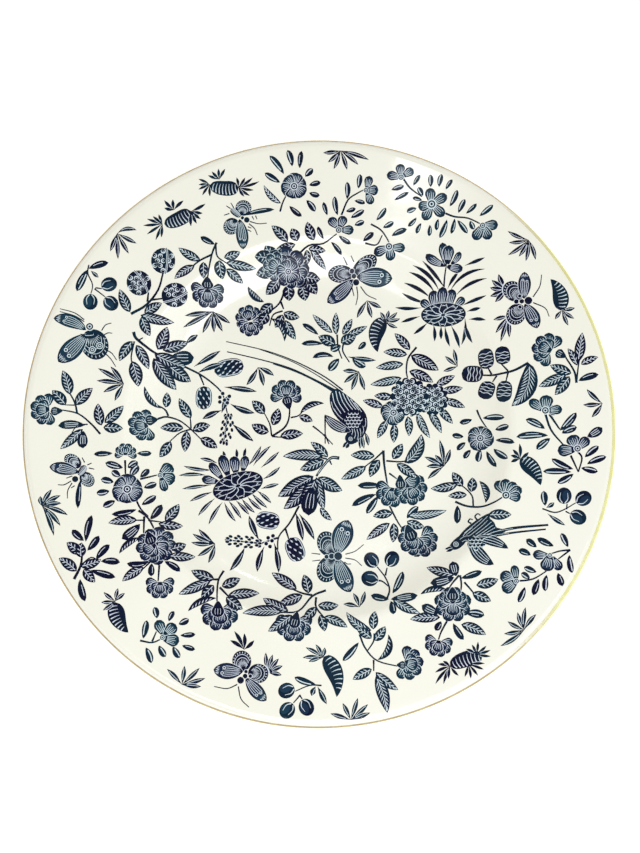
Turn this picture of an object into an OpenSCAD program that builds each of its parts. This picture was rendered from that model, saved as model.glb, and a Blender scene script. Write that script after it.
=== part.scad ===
// Round china serving platter with a deep cavetto, a broad swept rim, a gilt edge
// and a foot ring. Millimetres. The origin is on the axis, on the plane that the
// foot ring stands on, and +Z is up.
//
// The platter is one fired piece of china under fired-on layers. Every layer is a
// solid of revolution, and all of them share one section: section arcs keep their
// centres, and a layer's surface is that section grown by its distance d.

/* [Plate] */
// Diameter over the gilt edge
plate_d = 305; // [295:1:330]
// Thickness of the fired china, before glazing
china_t = 4.2; // [3.6:0.1:4.8]

/* [Well] */
// Radius of the flat floor of the well
floor_r = 72; // [66:1:74]
// Height of the china's floor above the table
floor_z = 9.2; // [8.8:0.1:11]
// Radius of the concave cove between the floor and the wall
cove_r = 42; // [36:1:44]
// Steepest slope of the wall, in degrees
wall_slope = 33; // [28:1:36]
// Length of the straight part of the wall
wall_len = 4.6; // [3:0.1:6]
// Radius of the shoulder where the wall turns into the rim
shoulder_r = 9; // [7:0.5:12]

/* [Rim] */
// Slope of the rim beside the shoulder, in degrees
rim_slope_in = 4; // [2:0.5:5]
// Slope of the rim beside the lip, in degrees
rim_slope_out = 9; // [7:0.5:12]
// Radius of the rolled lip inside the gilt edge
lip_r = 5; // [4:0.5:6]
// How far the lip's normal leans outward where the edge rounding begins, in degrees
lip_lean = 30; // [20:1:40]

/* [Foot ring] */
// Outside radius of the foot ring
foot_r = 87; // [84:1:90]
// Width of the foot ring
foot_w = 4.4; // [3.8:0.1:5.5]
// Radius of the rounded corners beside the bearing face
foot_corner_r = 0.9; // [0.6:0.1:1.2]
// Radius of the fillets at the root of the foot ring
foot_fillet_r = 2; // [1.2:0.1:2.4]
// Height of the bare china above the table, where the glaze is wiped off
bare_h = 1.4; // [1.2:0.1:2]

/* [Layers] */
// Thickness of the fired glaze
glaze_t = 0.25; // [0.15:0.05:0.35]
// Thickness of the gilding
gilt_t = 0.12; // [0.1:0.01:0.2]
// Where the gilding starts on the rolled lip, as the lean of its normal above level, in degrees
gilt_top = 76; // [62:1:88]
// Where the gilding ends under the edge, in degrees below level
gilt_bottom = 40; // [20:1:60]

/* [Hidden] */

china_colour = "antiquewhite";
glaze_colour = "ivory";
gilt_colour = "goldenrod";
facets = 200;

// Straight up, straight down, away from the axis and towards it, as angles of the section.
up = 90;
down = -90;
outward = 0;
inward = 180;

// A unit vector at angle a, the rising direction of a slope s, and the upper normal of that slope.
function toward(a) = [cos(a), sin(a)];
function along(s) = toward(s);
function normal(s) = toward(up + s);

// Points of an arc about c from angle a0 to a1, in n steps.
function arc(c, r, a0, a1, n) = [for (i = [0:n]) c + r * toward(a0 + (a1 - a0) * i / n)];
function reversed(list) = [for (i = [len(list) - 1:-1:0]) list[i]];

// Centres of the section's arcs, from the floor outward. A concave arc has its centre
// above the face, and a convex arc has its centre below it.
cove_c = [floor_r, floor_z + cove_r];
cove_end = cove_c - cove_r * normal(wall_slope);
shoulder_start = cove_end + wall_len * along(wall_slope);
shoulder_c = shoulder_start - shoulder_r * normal(wall_slope);
shoulder_end = shoulder_c + shoulder_r * normal(rim_slope_in);

// The lip and the edge turn the section by half a turn, which leaves china_t between
// the face and the back of the rim.
lip_end = up - lip_lean;
lip_turn = up + rim_slope_out - lip_end;
edge_r = (china_t - lip_r * (1 - cos(lip_turn))) / (1 + cos(lip_turn));
edge_c_x = plate_d / 2 - glaze_t - gilt_t - edge_r;
lip_c_x = edge_c_x - (lip_r - edge_r) * cos(lip_end);
sweep_end_x = lip_c_x + lip_r * normal(rim_slope_out).x;
sweep_r = (sweep_end_x - shoulder_end.x) / (sin(rim_slope_out) - sin(rim_slope_in));
sweep_c = shoulder_end + sweep_r * normal(rim_slope_in);
sweep_end = sweep_c - sweep_r * normal(rim_slope_out);
lip_c = sweep_end - lip_r * normal(rim_slope_out);
edge_c = lip_c + (lip_r - edge_r) * toward(lip_end);

// The foot ring's fillets: the outer one touches the back of the cove and the ring's
// side, and the inner one touches the underside of the floor.
under_z = floor_z - china_t;
fillet_x = foot_r + foot_fillet_r;
fillet_reach = cove_r + china_t + foot_fillet_r;
fillet_c = [fillet_x, cove_c.y - sqrt(pow(fillet_reach, 2) - pow(fillet_x - floor_r, 2))];
fillet_touch = atan2(cove_c.y - fillet_c.y, cove_c.x - fillet_c.x);
foot_in_r = foot_r - foot_w;
inner_fillet_c = [foot_in_r - foot_fillet_r, under_z - foot_fillet_r];

// The face of the section, grown by d, from the floor's rim to the lip's end.
function face(d) = concat(
    arc(cove_c, cove_r - d, down, down + wall_slope, 12),
    arc(shoulder_c, shoulder_r + d, up + wall_slope, up + rim_slope_in, 8),
    arc(sweep_c, sweep_r - d, down + rim_slope_in, down + rim_slope_out, 8),
    arc(lip_c, lip_r + d, up + rim_slope_out, lip_end, 6)
);

// The rounded edge, grown by d, down to the back of the rim.
function edge(d) = arc(edge_c, edge_r + d, lip_end, down + rim_slope_out, 12);

// The back, grown by d, from the rim to the top of the foot ring's outer side.
function back(d) = concat(
    arc(sweep_c, sweep_r + china_t + d, down + rim_slope_out, down + rim_slope_in, 8),
    arc(shoulder_c, shoulder_r - china_t - d, up + rim_slope_in, up + wall_slope, 8),
    arc(cove_c, cove_r + china_t + d, down + wall_slope, fillet_touch - 180, 6),
    arc(fillet_c, foot_fillet_r - d, fillet_touch, inward, 6)
);

// The fillet inside the foot ring, grown by d, from the ring to the underside.
function under(d) = arc(inner_fillet_c, foot_fillet_r - d, outward, up, 6);

// The foot ring below its fillets, bare, from its outer side to its inner side.
foot_outline = concat(
    arc([foot_r - foot_corner_r, foot_corner_r], foot_corner_r, outward, down, 5),
    arc([foot_in_r + foot_corner_r, foot_corner_r], foot_corner_r, down, down - 90, 5)
);

// The whole bare china, with its foot ring.
module china_body() {
    color(china_colour)
        rotate_extrude($fn = facets)
            polygon(concat(
                [[0, floor_z]], face(0), edge(0), back(0),
                foot_outline, under(0), [[0, under_z]]
            ));
}

// The glaze over the face, round the edge and down the back to the foot ring.
module glaze_coat() {
    skin = concat([[0, floor_z + glaze_t]], face(glaze_t), edge(glaze_t), back(glaze_t));
    core = concat([[0, floor_z]], face(0), edge(0), back(0));
    color(glaze_colour)
        rotate_extrude($fn = facets)
            polygon(concat(
                skin, [[foot_r + glaze_t, bare_h], [foot_r, bare_h]], reversed(core)
            ));
}

// The glaze inside the foot ring, which the bare foot parts from the rest.
module glaze_under_well() {
    skin = concat(under(glaze_t), [[0, under_z - glaze_t]]);
    core = concat(under(0), [[0, under_z]]);
    color(glaze_colour)
        rotate_extrude($fn = facets)
            polygon(concat(
                [[foot_in_r, bare_h], [foot_in_r - glaze_t, bare_h]], skin, reversed(core)
            ));
}

// The gilding over the outer part of the lip and round the edge, on the glaze.
module gilt_edge() {
    inner_r = edge_r + glaze_t;
    inner_lip_r = lip_r + glaze_t;
    color(gilt_colour)
        rotate_extrude($fn = facets)
            polygon(concat(
                arc(lip_c, inner_lip_r + gilt_t, gilt_top, lip_end, 4),
                arc(edge_c, inner_r + gilt_t, lip_end, -gilt_bottom, 12),
                arc(edge_c, inner_r, -gilt_bottom, lip_end, 12),
                arc(lip_c, inner_lip_r, lip_end, gilt_top, 4)
            ));
}

china_body();
glaze_coat();
glaze_under_well();
gilt_edge();
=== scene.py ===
"""Looks for the round china serving platter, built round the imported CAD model.

The china, its glaze and the gilding are turned again as fine meshes of the CAD section.
The blue print is drawn flat, in millimetres on the plate seen from above, as marks that
cover each other. Each motif is then laid on the face as one thin film of ink.
"""
import math

import bpy
import numpy as np
from mathutils import Matrix, Vector
from mathutils.geometry import delaunay_2d_cdt


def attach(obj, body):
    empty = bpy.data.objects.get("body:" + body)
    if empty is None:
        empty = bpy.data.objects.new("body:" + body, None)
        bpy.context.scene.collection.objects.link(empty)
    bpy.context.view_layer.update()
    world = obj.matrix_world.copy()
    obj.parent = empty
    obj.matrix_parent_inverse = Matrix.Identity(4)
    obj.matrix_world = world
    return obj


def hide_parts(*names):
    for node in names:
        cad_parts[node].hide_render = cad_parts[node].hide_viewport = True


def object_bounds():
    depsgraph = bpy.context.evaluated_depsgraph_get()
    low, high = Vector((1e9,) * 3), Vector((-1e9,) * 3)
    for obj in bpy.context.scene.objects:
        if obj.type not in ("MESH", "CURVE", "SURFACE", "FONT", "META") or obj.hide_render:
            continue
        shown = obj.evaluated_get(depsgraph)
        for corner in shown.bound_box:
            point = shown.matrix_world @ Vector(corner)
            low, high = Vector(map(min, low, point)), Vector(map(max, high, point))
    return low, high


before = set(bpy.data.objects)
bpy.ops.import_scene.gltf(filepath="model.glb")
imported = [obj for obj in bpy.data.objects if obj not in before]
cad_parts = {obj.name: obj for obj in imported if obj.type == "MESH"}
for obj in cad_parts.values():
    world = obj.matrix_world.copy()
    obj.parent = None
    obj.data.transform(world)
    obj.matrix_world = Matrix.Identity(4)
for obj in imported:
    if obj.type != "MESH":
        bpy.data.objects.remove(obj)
cad_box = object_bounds()

MM = 0.001

# ---------------------------------------------------------------- section of the plate
# Millimetres, as in the CAD: an arc keeps its centre, and a layer's surface is the
# section grown by its distance d.
PLATE_R = 305 / 2
CHINA_T = 4.2
FLOOR_R = 72
FLOOR_Z = 9.2
COVE_R = 42
WALL_SLOPE = 33
WALL_LEN = 4.6
SHOULDER_R = 9
RIM_SLOPE_IN = 4
RIM_SLOPE_OUT = 9
LIP_R = 5
LIP_LEAN = 30
FOOT_R = 87
FOOT_W = 4.4
FOOT_CORNER_R = 0.9
FOOT_FILLET_R = 2
BARE_H = 1.4
GLAZE_T = 0.25
GILT_T = 0.12
GILT_TOP = 76
GILT_BOTTOM = 40
GILT_WORN_R = 151.1
UP = 90
DOWN = -90
CHORD_ERROR = 0.006
TURNS = 360


def toward(angle):
    """A unit vector at an angle in degrees."""
    return np.array([math.cos(math.radians(angle)), math.sin(math.radians(angle))])


def normal(slope):
    """The upper normal of a slope."""
    return toward(UP + slope)


def arc(centre, radius, start, end):
    """Points of an arc, close enough together to keep its chords within CHORD_ERROR."""
    step = math.degrees(2 * math.acos(1 - CHORD_ERROR / radius))
    count = max(3, math.ceil(abs(end - start) / step))
    return [centre + radius * toward(a) for a in np.linspace(start, end, count + 1)]


cove_c = np.array([FLOOR_R, FLOOR_Z + COVE_R])
cove_end = cove_c - COVE_R * normal(WALL_SLOPE)
shoulder_start = cove_end + WALL_LEN * toward(WALL_SLOPE)
shoulder_c = shoulder_start - SHOULDER_R * normal(WALL_SLOPE)
shoulder_end = shoulder_c + SHOULDER_R * normal(RIM_SLOPE_IN)

lip_end = UP - LIP_LEAN
lip_turn = math.radians(UP + RIM_SLOPE_OUT - lip_end)
edge_r = (CHINA_T - LIP_R * (1 - math.cos(lip_turn))) / (1 + math.cos(lip_turn))
edge_x = PLATE_R - GLAZE_T - GILT_T - edge_r
lip_x = edge_x - (LIP_R - edge_r) * toward(lip_end)[0]
sweep_end_x = lip_x + LIP_R * normal(RIM_SLOPE_OUT)[0]
sweep_turn = math.sin(math.radians(RIM_SLOPE_OUT)) - math.sin(math.radians(RIM_SLOPE_IN))
sweep_r = (sweep_end_x - shoulder_end[0]) / sweep_turn
sweep_c = shoulder_end + sweep_r * normal(RIM_SLOPE_IN)
sweep_end = sweep_c - sweep_r * normal(RIM_SLOPE_OUT)
lip_c = sweep_end - LIP_R * normal(RIM_SLOPE_OUT)
edge_c = lip_c + (LIP_R - edge_r) * toward(lip_end)

under_z = FLOOR_Z - CHINA_T
foot_in_r = FOOT_R - FOOT_W
fillet_x = FOOT_R + FOOT_FILLET_R
fillet_reach = COVE_R + CHINA_T + FOOT_FILLET_R
fillet_drop = math.sqrt(fillet_reach ** 2 - (fillet_x - FLOOR_R) ** 2)
fillet_c = np.array([fillet_x, cove_c[1] - fillet_drop])
fillet_touch = math.degrees(math.atan2(fillet_drop, cove_c[0] - fillet_x))
inner_fillet_c = np.array([foot_in_r - FOOT_FILLET_R, under_z - FOOT_FILLET_R])


def face(d):
    """The face of the section, from the floor's rim to the lip's end."""
    return (arc(cove_c, COVE_R - d, DOWN, DOWN + WALL_SLOPE)
            + arc(shoulder_c, SHOULDER_R + d, UP + WALL_SLOPE, UP + RIM_SLOPE_IN)
            + arc(sweep_c, sweep_r - d, DOWN + RIM_SLOPE_IN, DOWN + RIM_SLOPE_OUT)
            + arc(lip_c, LIP_R + d, UP + RIM_SLOPE_OUT, lip_end))


def edge(d):
    """The rounded edge, down to the back of the rim."""
    return arc(edge_c, edge_r + d, lip_end, DOWN + RIM_SLOPE_OUT)


def back(d):
    """The back, from the rim to the top of the foot ring's outer side."""
    return (arc(sweep_c, sweep_r + CHINA_T + d, DOWN + RIM_SLOPE_OUT, DOWN + RIM_SLOPE_IN)
            + arc(shoulder_c, SHOULDER_R - CHINA_T - d, UP + RIM_SLOPE_IN, UP + WALL_SLOPE)
            + arc(cove_c, COVE_R + CHINA_T + d, DOWN + WALL_SLOPE, fillet_touch - 180)
            + arc(fillet_c, FOOT_FILLET_R - d, fillet_touch, 180))


def under(d):
    """The fillet inside the foot ring, from the ring to the underside."""
    return arc(inner_fillet_c, FOOT_FILLET_R - d, 0, UP)


def foot():
    """The bare foot ring below its fillets, from its outer side to its inner side."""
    outer_c = np.array([FOOT_R - FOOT_CORNER_R, FOOT_CORNER_R])
    inner_c = np.array([foot_in_r + FOOT_CORNER_R, FOOT_CORNER_R])
    return arc(outer_c, FOOT_CORNER_R, 0, DOWN) + arc(inner_c, FOOT_CORNER_R, DOWN, -180)


def china_section():
    """The fired china, closed along the axis."""
    return [(0, FLOOR_Z)] + face(0) + edge(0) + back(0) + foot() + under(0) + [(0, under_z)]


def glaze_section():
    """The glaze over the face, round the edge and down the back."""
    skin = [(0, FLOOR_Z + GLAZE_T)] + face(GLAZE_T) + edge(GLAZE_T) + back(GLAZE_T)
    core = [(0, FLOOR_Z)] + face(0) + edge(0) + back(0)
    return skin + [(FOOT_R + GLAZE_T, BARE_H), (FOOT_R, BARE_H)] + core[::-1]


def under_glaze_section():
    """The glaze inside the foot ring."""
    skin = under(GLAZE_T) + [(0, under_z - GLAZE_T)]
    core = under(0) + [(0, under_z)]
    return [(foot_in_r, BARE_H), (foot_in_r - GLAZE_T, BARE_H)] + skin + core[::-1]


def gilt_section():
    """The gold line round the edge."""
    inner = edge_r + GLAZE_T
    inner_lip = LIP_R + GLAZE_T
    return (arc(lip_c, inner_lip + GILT_T, GILT_TOP, lip_end)
            + arc(edge_c, inner + GILT_T, lip_end, -GILT_BOTTOM)
            + arc(edge_c, inner, -GILT_BOTTOM, lip_end)
            + arc(lip_c, inner_lip, lip_end, GILT_TOP))


# ---------------------------------------------------------------- materials
def new_material(name, **sockets):
    """A Principled material and its shader, with plain values on the named sockets."""
    material = bpy.data.materials.new(name)
    material.use_nodes = True
    shader = material.node_tree.nodes["Principled BSDF"]
    for socket, value in sockets.items():
        shader.inputs[socket.replace("_", " ")].default_value = value
    return material, shader


def node(owner, kind, output, inputs=None, **settings):
    """An output of a new shader node. Each input is another node's output or a value."""
    tree = owner.node_tree
    made = tree.nodes.new("ShaderNode" + kind)
    for setting, value in settings.items():
        setattr(made, setting, value)
    for socket, value in (inputs or {}).items():
        if isinstance(value, bpy.types.NodeSocket):
            tree.links.new(value, made.inputs[socket])
        else:
            made.inputs[socket].default_value = value
    return made.outputs[output]


def spread(owner, value, start=0.0, end=1.0, low=0.0, high=1.0, **settings):
    """A number that goes from low to high while the value goes from start to end."""
    limits = {"From Min": start, "From Max": end, "To Min": low, "To Max": high}
    return node(owner, "MapRange", "Result", {"Value": value, **limits}, **settings)


def mixed(owner, factor, first, second):
    """A colour between two others. Either one is a colour or another node's output."""
    ends = {}
    for socket, colour in (("A", first), ("B", second)):
        ends[socket] = colour if isinstance(colour, bpy.types.NodeSocket) else (*colour, 1)
    return node(owner, "Mix", "Result", ends | {"Factor": factor}, data_type="RGBA")


def noise(material, scale, detail=2.0, low=0.35, high=0.65, stretch=(1, 1, 1)):
    """Noise over the plate, spread from 0 to 1. Its scale is in waves per metre."""
    place = node(material, "TexCoord", "Object")
    stretched = node(material, "Mapping", "Vector", {"Vector": place, "Scale": stretch})
    texture = {"Vector": stretched, "Scale": scale, "Detail": detail}
    return spread(material, node(material, "TexNoise", "Fac", texture), low, high)


def specks(material, scale, size):
    """Small round specks, 1 inside a speck and 0 outside it."""
    place = node(material, "TexCoord", "Object")
    cells = node(material, "TexVoronoi", "Distance", {"Vector": place, "Scale": scale})
    return spread(material, cells, size, size * 0.5)


def bumped(material, shader, height, distance, strength):
    """Adds a bump of that real depth, in metres, to the shader."""
    inputs = {"Height": height, "Distance": distance, "Strength": strength}
    bump = node(material, "Bump", "Normal", inputs)
    material.node_tree.links.new(bump, shader.inputs["Normal"])


def glaze_material():
    """Clear glaze over cream china: faint clouds, rare iron specks and a soft ripple."""
    material, shader = new_material("glaze", IOR=1.52)
    link = material.node_tree.links.new
    clouds = noise(material, 9, 3)
    body = mixed(material, clouds, (0.900, 0.892, 0.808), (0.920, 0.914, 0.848))
    speckled = mixed(material, specks(material, 95, 0.018), body, (0.62, 0.58, 0.47))
    link(speckled, shader.inputs["Base Color"])
    gloss = noise(material, 40)
    link(spread(material, gloss, low=0.07, high=0.13), shader.inputs["Roughness"])
    bumped(material, shader, noise(material, 70, 1.0), 0.0001, 0.25)
    return material


def ink_material(name, navy, teal):
    """Cobalt ink in the glaze, which drifts from navy to teal and prints unevenly."""
    material, shader = new_material(name, IOR=1.52, Specular_IOR_Level=0.12)
    link = material.node_tree.links.new
    drift = mixed(material, noise(material, 28, 1.0, 0.4, 0.62), navy, teal)
    thin = tuple(0.7 * c + 0.022 for c in navy)
    grain = spread(material, noise(material, 900), low=0.0, high=0.35)
    link(mixed(material, grain, drift, thin), shader.inputs["Base Color"])
    gloss = noise(material, 40)
    link(spread(material, gloss, low=0.08, high=0.16), shader.inputs["Roughness"])
    return material


def gilt_material():
    """Pale gold, burnished round the edge. Its inner band has worn away but for one side. The gold also
    carries painted light: a pale lemon on that right side, where the light falls, and a painted shaded
    tan elsewhere.
    """
    material, shader = new_material("gilding")
    link = material.node_tree.links.new
    place = node(material, "TexCoord", "Object")
    x = node(material, "SeparateXYZ", "X", {"Vector": place})
    y = node(material, "SeparateXYZ", "Y", {"Vector": place})
    flat = node(material, "CombineXYZ", "Vector", {"X": x, "Y": y})
    reach = node(material, "VectorMath", "Value", {0: flat}, operation="LENGTH")
    outer = spread(material, reach, GILT_WORN_R * MM, (GILT_WORN_R + 0.35) * MM)
    # The right-hand side share keeps the inner band there, and it also paints the gold as lit on that
    # side (painted light).
    kept_and_lit_side = spread(material, x, 0.62 * PLATE_R * MM, 0.8 * PLATE_R * MM)
    kept = node(material, "Math", "Value", {0: outer, 1: kept_and_lit_side}, operation="MAXIMUM")
    burnish = noise(material, 160, 3.0, 0.3, 0.7, (1, 1, 4))
    # Painted light: a lit pale lemon gold and a shaded tan gold, mixed by side.
    bright = mixed(material, burnish, (0.90, 0.86, 0.42), (0.97, 0.96, 0.58))
    shaded_tan_gold = mixed(material, burnish, (0.48, 0.37, 0.19), (0.63, 0.52, 0.30))
    gold = mixed(material, kept_and_lit_side, shaded_tan_gold, bright)
    cream = (0.91, 0.90, 0.86)
    link(mixed(material, kept, cream, gold), shader.inputs["Base Color"])
    link(spread(material, kept, low=0.0, high=0.92), shader.inputs["Metallic"])
    link(spread(material, burnish, low=0.16, high=0.34), shader.inputs["Roughness"])
    bumped(material, shader, burnish, 0.00003, 0.4)
    return material


def bare_china_material():
    """The unglazed foot: dry cream china with a grain and a little shelf dirt."""
    material, shader = new_material("bare_china")
    link = material.node_tree.links.new
    grain = noise(material, 1600, 3.0)
    body = mixed(material, grain, (0.74, 0.69, 0.58), (0.84, 0.80, 0.70))
    dirt = spread(material, noise(material, 90, 4.0, 0.5, 0.75), low=0.0, high=0.5)
    link(mixed(material, dirt, body, (0.42, 0.36, 0.28)), shader.inputs["Base Color"])
    link(spread(material, grain, low=0.62, high=0.85), shader.inputs["Roughness"])
    bumped(material, shader, grain, 0.0001, 0.5)
    return material


# ---------------------------------------------------------------- turned pieces
def new_piece(name, points, faces, materials):
    """A mesh piece that rides with the plate. Its points are in millimetres."""
    mesh = bpy.data.meshes.new(name)
    mesh.from_pydata((np.asarray(points) * MM).tolist(), [], faces)
    mesh.shade_smooth()
    for material in materials:
        mesh.materials.append(material)
    piece = bpy.data.objects.new(name, mesh)
    bpy.context.scene.collection.objects.link(piece)
    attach(piece, "root")
    return piece


def turned(name, section, material, slot, *nodes):
    """A solid of revolution of a closed section, given as (radius, height) points."""
    angles = np.linspace(0, 2 * math.pi, TURNS, endpoint=False)
    points = []
    rings = []
    last = None
    for radius, height in section:
        if last is not None and np.allclose(last, (radius, height), atol=1e-6):
            continue
        last = (radius, height)
        count = TURNS if radius > 0 else 1
        rings.append(range(len(points), len(points) + count))
        points += [(radius * math.cos(a), radius * math.sin(a), height) for a in angles[:count]]
    faces = []
    for near, far in zip(rings, rings[1:] + rings[:1]):
        for i in range(TURNS if len(near) + len(far) > 2 else 0):
            j = (i + 1) % TURNS
            corners = [near[i % len(near)], far[i % len(far)], far[j % len(far)], near[j % len(near)]]
            faces.append(list(dict.fromkeys(corners)))
    piece = new_piece(name, points, faces, [material])
    piece.data.set_sharp_from_angle(angle=math.radians(40))
    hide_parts(*nodes)


# ---------------------------------------------------------------- the print's ink
# A mark is a closed outline and a tone, and later marks cover earlier ones. A BARE mark
# over ink is a line cut in it, where a pale wash stays. Elsewhere it leaves plain glaze.
BARE = -1
DARK = 0
MID = 1
PALE = 2
INK_TOP = 0.04
INK_BOTTOM = -0.05
LINE = 0.42
FINE = 0.30

face_line = np.array([(0, FLOOR_Z + GLAZE_T)] + face(GLAZE_T))
rim_end = sweep_end[0]
face_r = np.arange(0, rim_end + 2, 0.25)
face_z = np.interp(face_r, face_line[:, 0], face_line[:, 1])
face_slope = np.gradient(face_z, face_r)
BEND_RINGS = np.concatenate([
    np.arange(FLOOR_R, cove_end[0], 2.5),
    np.arange(shoulder_start[0], shoulder_end[0] + 1, 0.8),
    np.arange(shoulder_end[0] + 6, rim_end, 8),
])
RING_STEP = 2.5


def on_face(flat, rise):
    """Points of the plan laid on the glazed face, lifted by rise, and the face's normals."""
    radius = np.maximum(np.hypot(flat[:, 0], flat[:, 1]), 1e-6)
    slope = np.interp(radius, face_r, face_slope)
    normals = np.column_stack([-slope * flat[:, 0] / radius, -slope * flat[:, 1] / radius,
                               np.ones(len(flat))])
    normals /= np.linalg.norm(normals, axis=1)[:, None]
    height = np.interp(radius, face_r, face_z)
    return np.column_stack([flat, height]) + normals * rise, normals


def ring_lines(low, high):
    """Stretches of the rings where the face bends, inside a box, as points and edges."""
    points = []
    edges = []
    for radius in BEND_RINGS:
        count = int(2 * math.pi * radius / RING_STEP)
        angles = np.arange(count) * 2 * math.pi / count
        ring = radius * np.column_stack([np.cos(angles), np.sin(angles)])
        inside = np.all((ring > low) & (ring < high), axis=1)
        place = len(points) + np.cumsum(inside) - 1
        points += [tuple(p) for p in ring[inside]]
        for i in np.flatnonzero(inside & np.roll(inside, -1)):
            edges.append((int(place[i]), int(place[(i + 1) % count])))
    return points, edges


def flatten(marks):
    """Cuts overlapping marks into triangles that touch but don't overlap, each with a tone."""
    every = np.vstack([outline for outline, tone in marks])
    points, edges = ring_lines(every.min(0) - 1, every.max(0) + 1)
    faces = []
    for outline, tone in marks:
        ahead = np.roll(outline, -1, axis=0)
        area = np.sum(outline[:, 0] * ahead[:, 1] - ahead[:, 0] * outline[:, 1])
        ordered = outline if area > 0 else outline[::-1]
        faces.append(list(range(len(points), len(points) + len(ordered))))
        points += [tuple(p) for p in ordered]
    flat, _, triangles, _, _, sources = delaunay_2d_cdt(
        [Vector(p) for p in points], edges, faces, 0, 1e-4)
    kept = []
    tones = []
    for triangle, source in zip(triangles, sources):
        tone = marks[max(source)][1] if source else BARE
        if tone == BARE and any(marks[k][1] != BARE for k in source):
            tone = PALE
        if tone != BARE:
            kept.append(triangle)
            tones.append(tone)
    return np.array([tuple(p) for p in flat]), kept, tones


def print_piece(name, marks, inks):
    """One motif of the print, as a thin closed film of ink on the glaze."""
    flat, triangles, tones = flatten(marks)
    used = sorted({corner for triangle in triangles for corner in triangle})
    number = {corner: i for i, corner in enumerate(used)}
    flat = flat[used]
    top, normals = on_face(flat, INK_TOP)
    bottom, _ = on_face(flat, INK_BOTTOM)
    count = len(used)
    upper = [[number[c] for c in triangle] for triangle in triangles]
    lower = [[c + count for c in reversed(triangle)] for triangle in upper]
    owner = {}
    for i, triangle in enumerate(upper):
        for pair in zip(triangle, triangle[1:] + triangle[:1]):
            owner[pair] = i
    rim = [(a, b, i) for (a, b), i in owner.items() if (b, a) not in owner]
    walls = [[b, a, a + count, b + count] for a, b, i in rim]
    piece = new_piece(name, np.vstack([top, bottom]), upper + lower + walls, inks)
    piece.data.polygons.foreach_set("material_index", tones + tones + [tones[i] for _, _, i in rim])
    piece.data.normals_split_custom_set_from_vertices(np.vstack([normals, -normals]).tolist())


# ---------------------------------------------------------------- lines and outlines
def smooth(points, per=4):
    """A curve through the points."""
    knots = np.asarray(points, float).reshape(-1, 2)
    if len(knots) == 2:
        return knots[0] + (knots[1] - knots[0]) * np.linspace(0, 1, per + 1)[:, None]
    knots = np.vstack([2 * knots[0] - knots[1], knots, 2 * knots[-1] - knots[-2]])
    curve = []
    for a, b, c, d in zip(knots, knots[1:], knots[2:], knots[3:]):
        for t in np.arange(per) / per:
            curve.append(0.5 * (2 * b + (c - a) * t + (2 * a - 5 * b + 4 * c - d) * t ** 2
                                + (3 * b - a - 3 * c + d) * t ** 3))
    return np.array(curve + [knots[-2]])


def closed(points, per=3):
    """A smooth closed outline through the points."""
    knots = np.asarray(points, float).reshape(-1, 2)
    wrapped = np.vstack([knots[-1:], knots, knots[:2]])
    return smooth(wrapped, per)[per:-per - 1]


def across(line):
    """Unit vectors to the left of a line."""
    ahead = np.gradient(line, axis=0)
    ahead /= np.linalg.norm(ahead, axis=1)[:, None] + 1e-9
    return np.column_stack([-ahead[:, 1], ahead[:, 0]])


def beside(line, half, share):
    """The line that keeps a share of the half width to the left of a line."""
    return line + across(line) * (half * share)[:, None]


def band(line, half):
    """The outline of a band with its half width at each point of a line."""
    half = np.maximum(half, 0.04) * np.ones(len(line))
    return np.vstack([beside(line, half, 1), beside(line, half, -1)[::-1]])


def dash(start, end, width):
    """A short pointed dash."""
    start = np.asarray(start)
    end = np.asarray(end)
    ahead = end - start
    side = np.array([-ahead[1], ahead[0]]) / (np.hypot(*ahead) + 1e-9) * width / 2
    middle = start + ahead * 0.55
    return np.array([start, middle - side, end, middle + side])


def disc(x, y, radius, flat=1.0, turn=0, count=16):
    """A circle, or an ellipse flattened across the direction turn, in degrees."""
    angle = np.arange(count) * 2 * math.pi / count
    turn = math.radians(turn)
    long = radius * np.cos(angle)
    short = radius * flat * np.sin(angle)
    return np.column_stack([x + long * math.cos(turn) - short * math.sin(turn),
                            y + long * math.sin(turn) + short * math.cos(turn)])


def bowed(place, count=9):
    """A line from base to tip, (x0, y0, x1, y1) or with a bow as a share of its length."""
    start = np.array(place[:2], float)
    end = np.array(place[2:4], float)
    bow = place[4] if len(place) > 4 else 0.05 * math.sin(place[0] + 2 * place[1])
    side = np.array([start[1] - end[1], end[0] - start[0]]) * bow
    t = np.linspace(0, 1, count)[:, None]
    return start + (end - start) * t + side * 4 * t * (1 - t)


def pointed(count, width, widest=0.45, full=0.8):
    """Half widths of a leaf that is pointed at both ends."""
    t = np.linspace(0, 1, count) ** (math.log(0.5) / math.log(widest))
    return width / 2 * np.sin(math.pi * t) ** full


def rounded(count, width, neck=0.3):
    """Half widths of a petal: a narrow neck, then a round end."""
    t = np.linspace(0, 1, count)
    swell = neck + (1 - neck) * np.minimum(1, t / 0.6) ** 0.8
    return width / 2 * swell * np.sqrt(np.clip(1 - np.clip((t - 0.6) / 0.4, 0, 1) ** 2, 0, 1))


def stout(count, width):
    """Half widths of a cone or a grub: blunt at both ends."""
    t = np.linspace(-1, 1, count)
    return width / 2 * np.sqrt(1 - np.abs(t) ** 3)


# ---------------------------------------------------------------- the print's tools
# Each tool adds its marks for a size and any number of places.
FLORETS = 14
DOME_SPAN = 205


def cut(marks, line, half):
    """A bare line with its half width."""
    marks.append((band(line, half), BARE))


def body(marks, line, half, halo=FINE):
    """A dark band in a thin bare halo."""
    cut(marks, line, half + halo)
    marks.append((band(line, half), DARK))


def run(line):
    """The length of a line from end to end, and its direction."""
    length = np.hypot(*(line[-1] - line[0]))
    return length, (line[-1] - line[0]) / length


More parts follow.
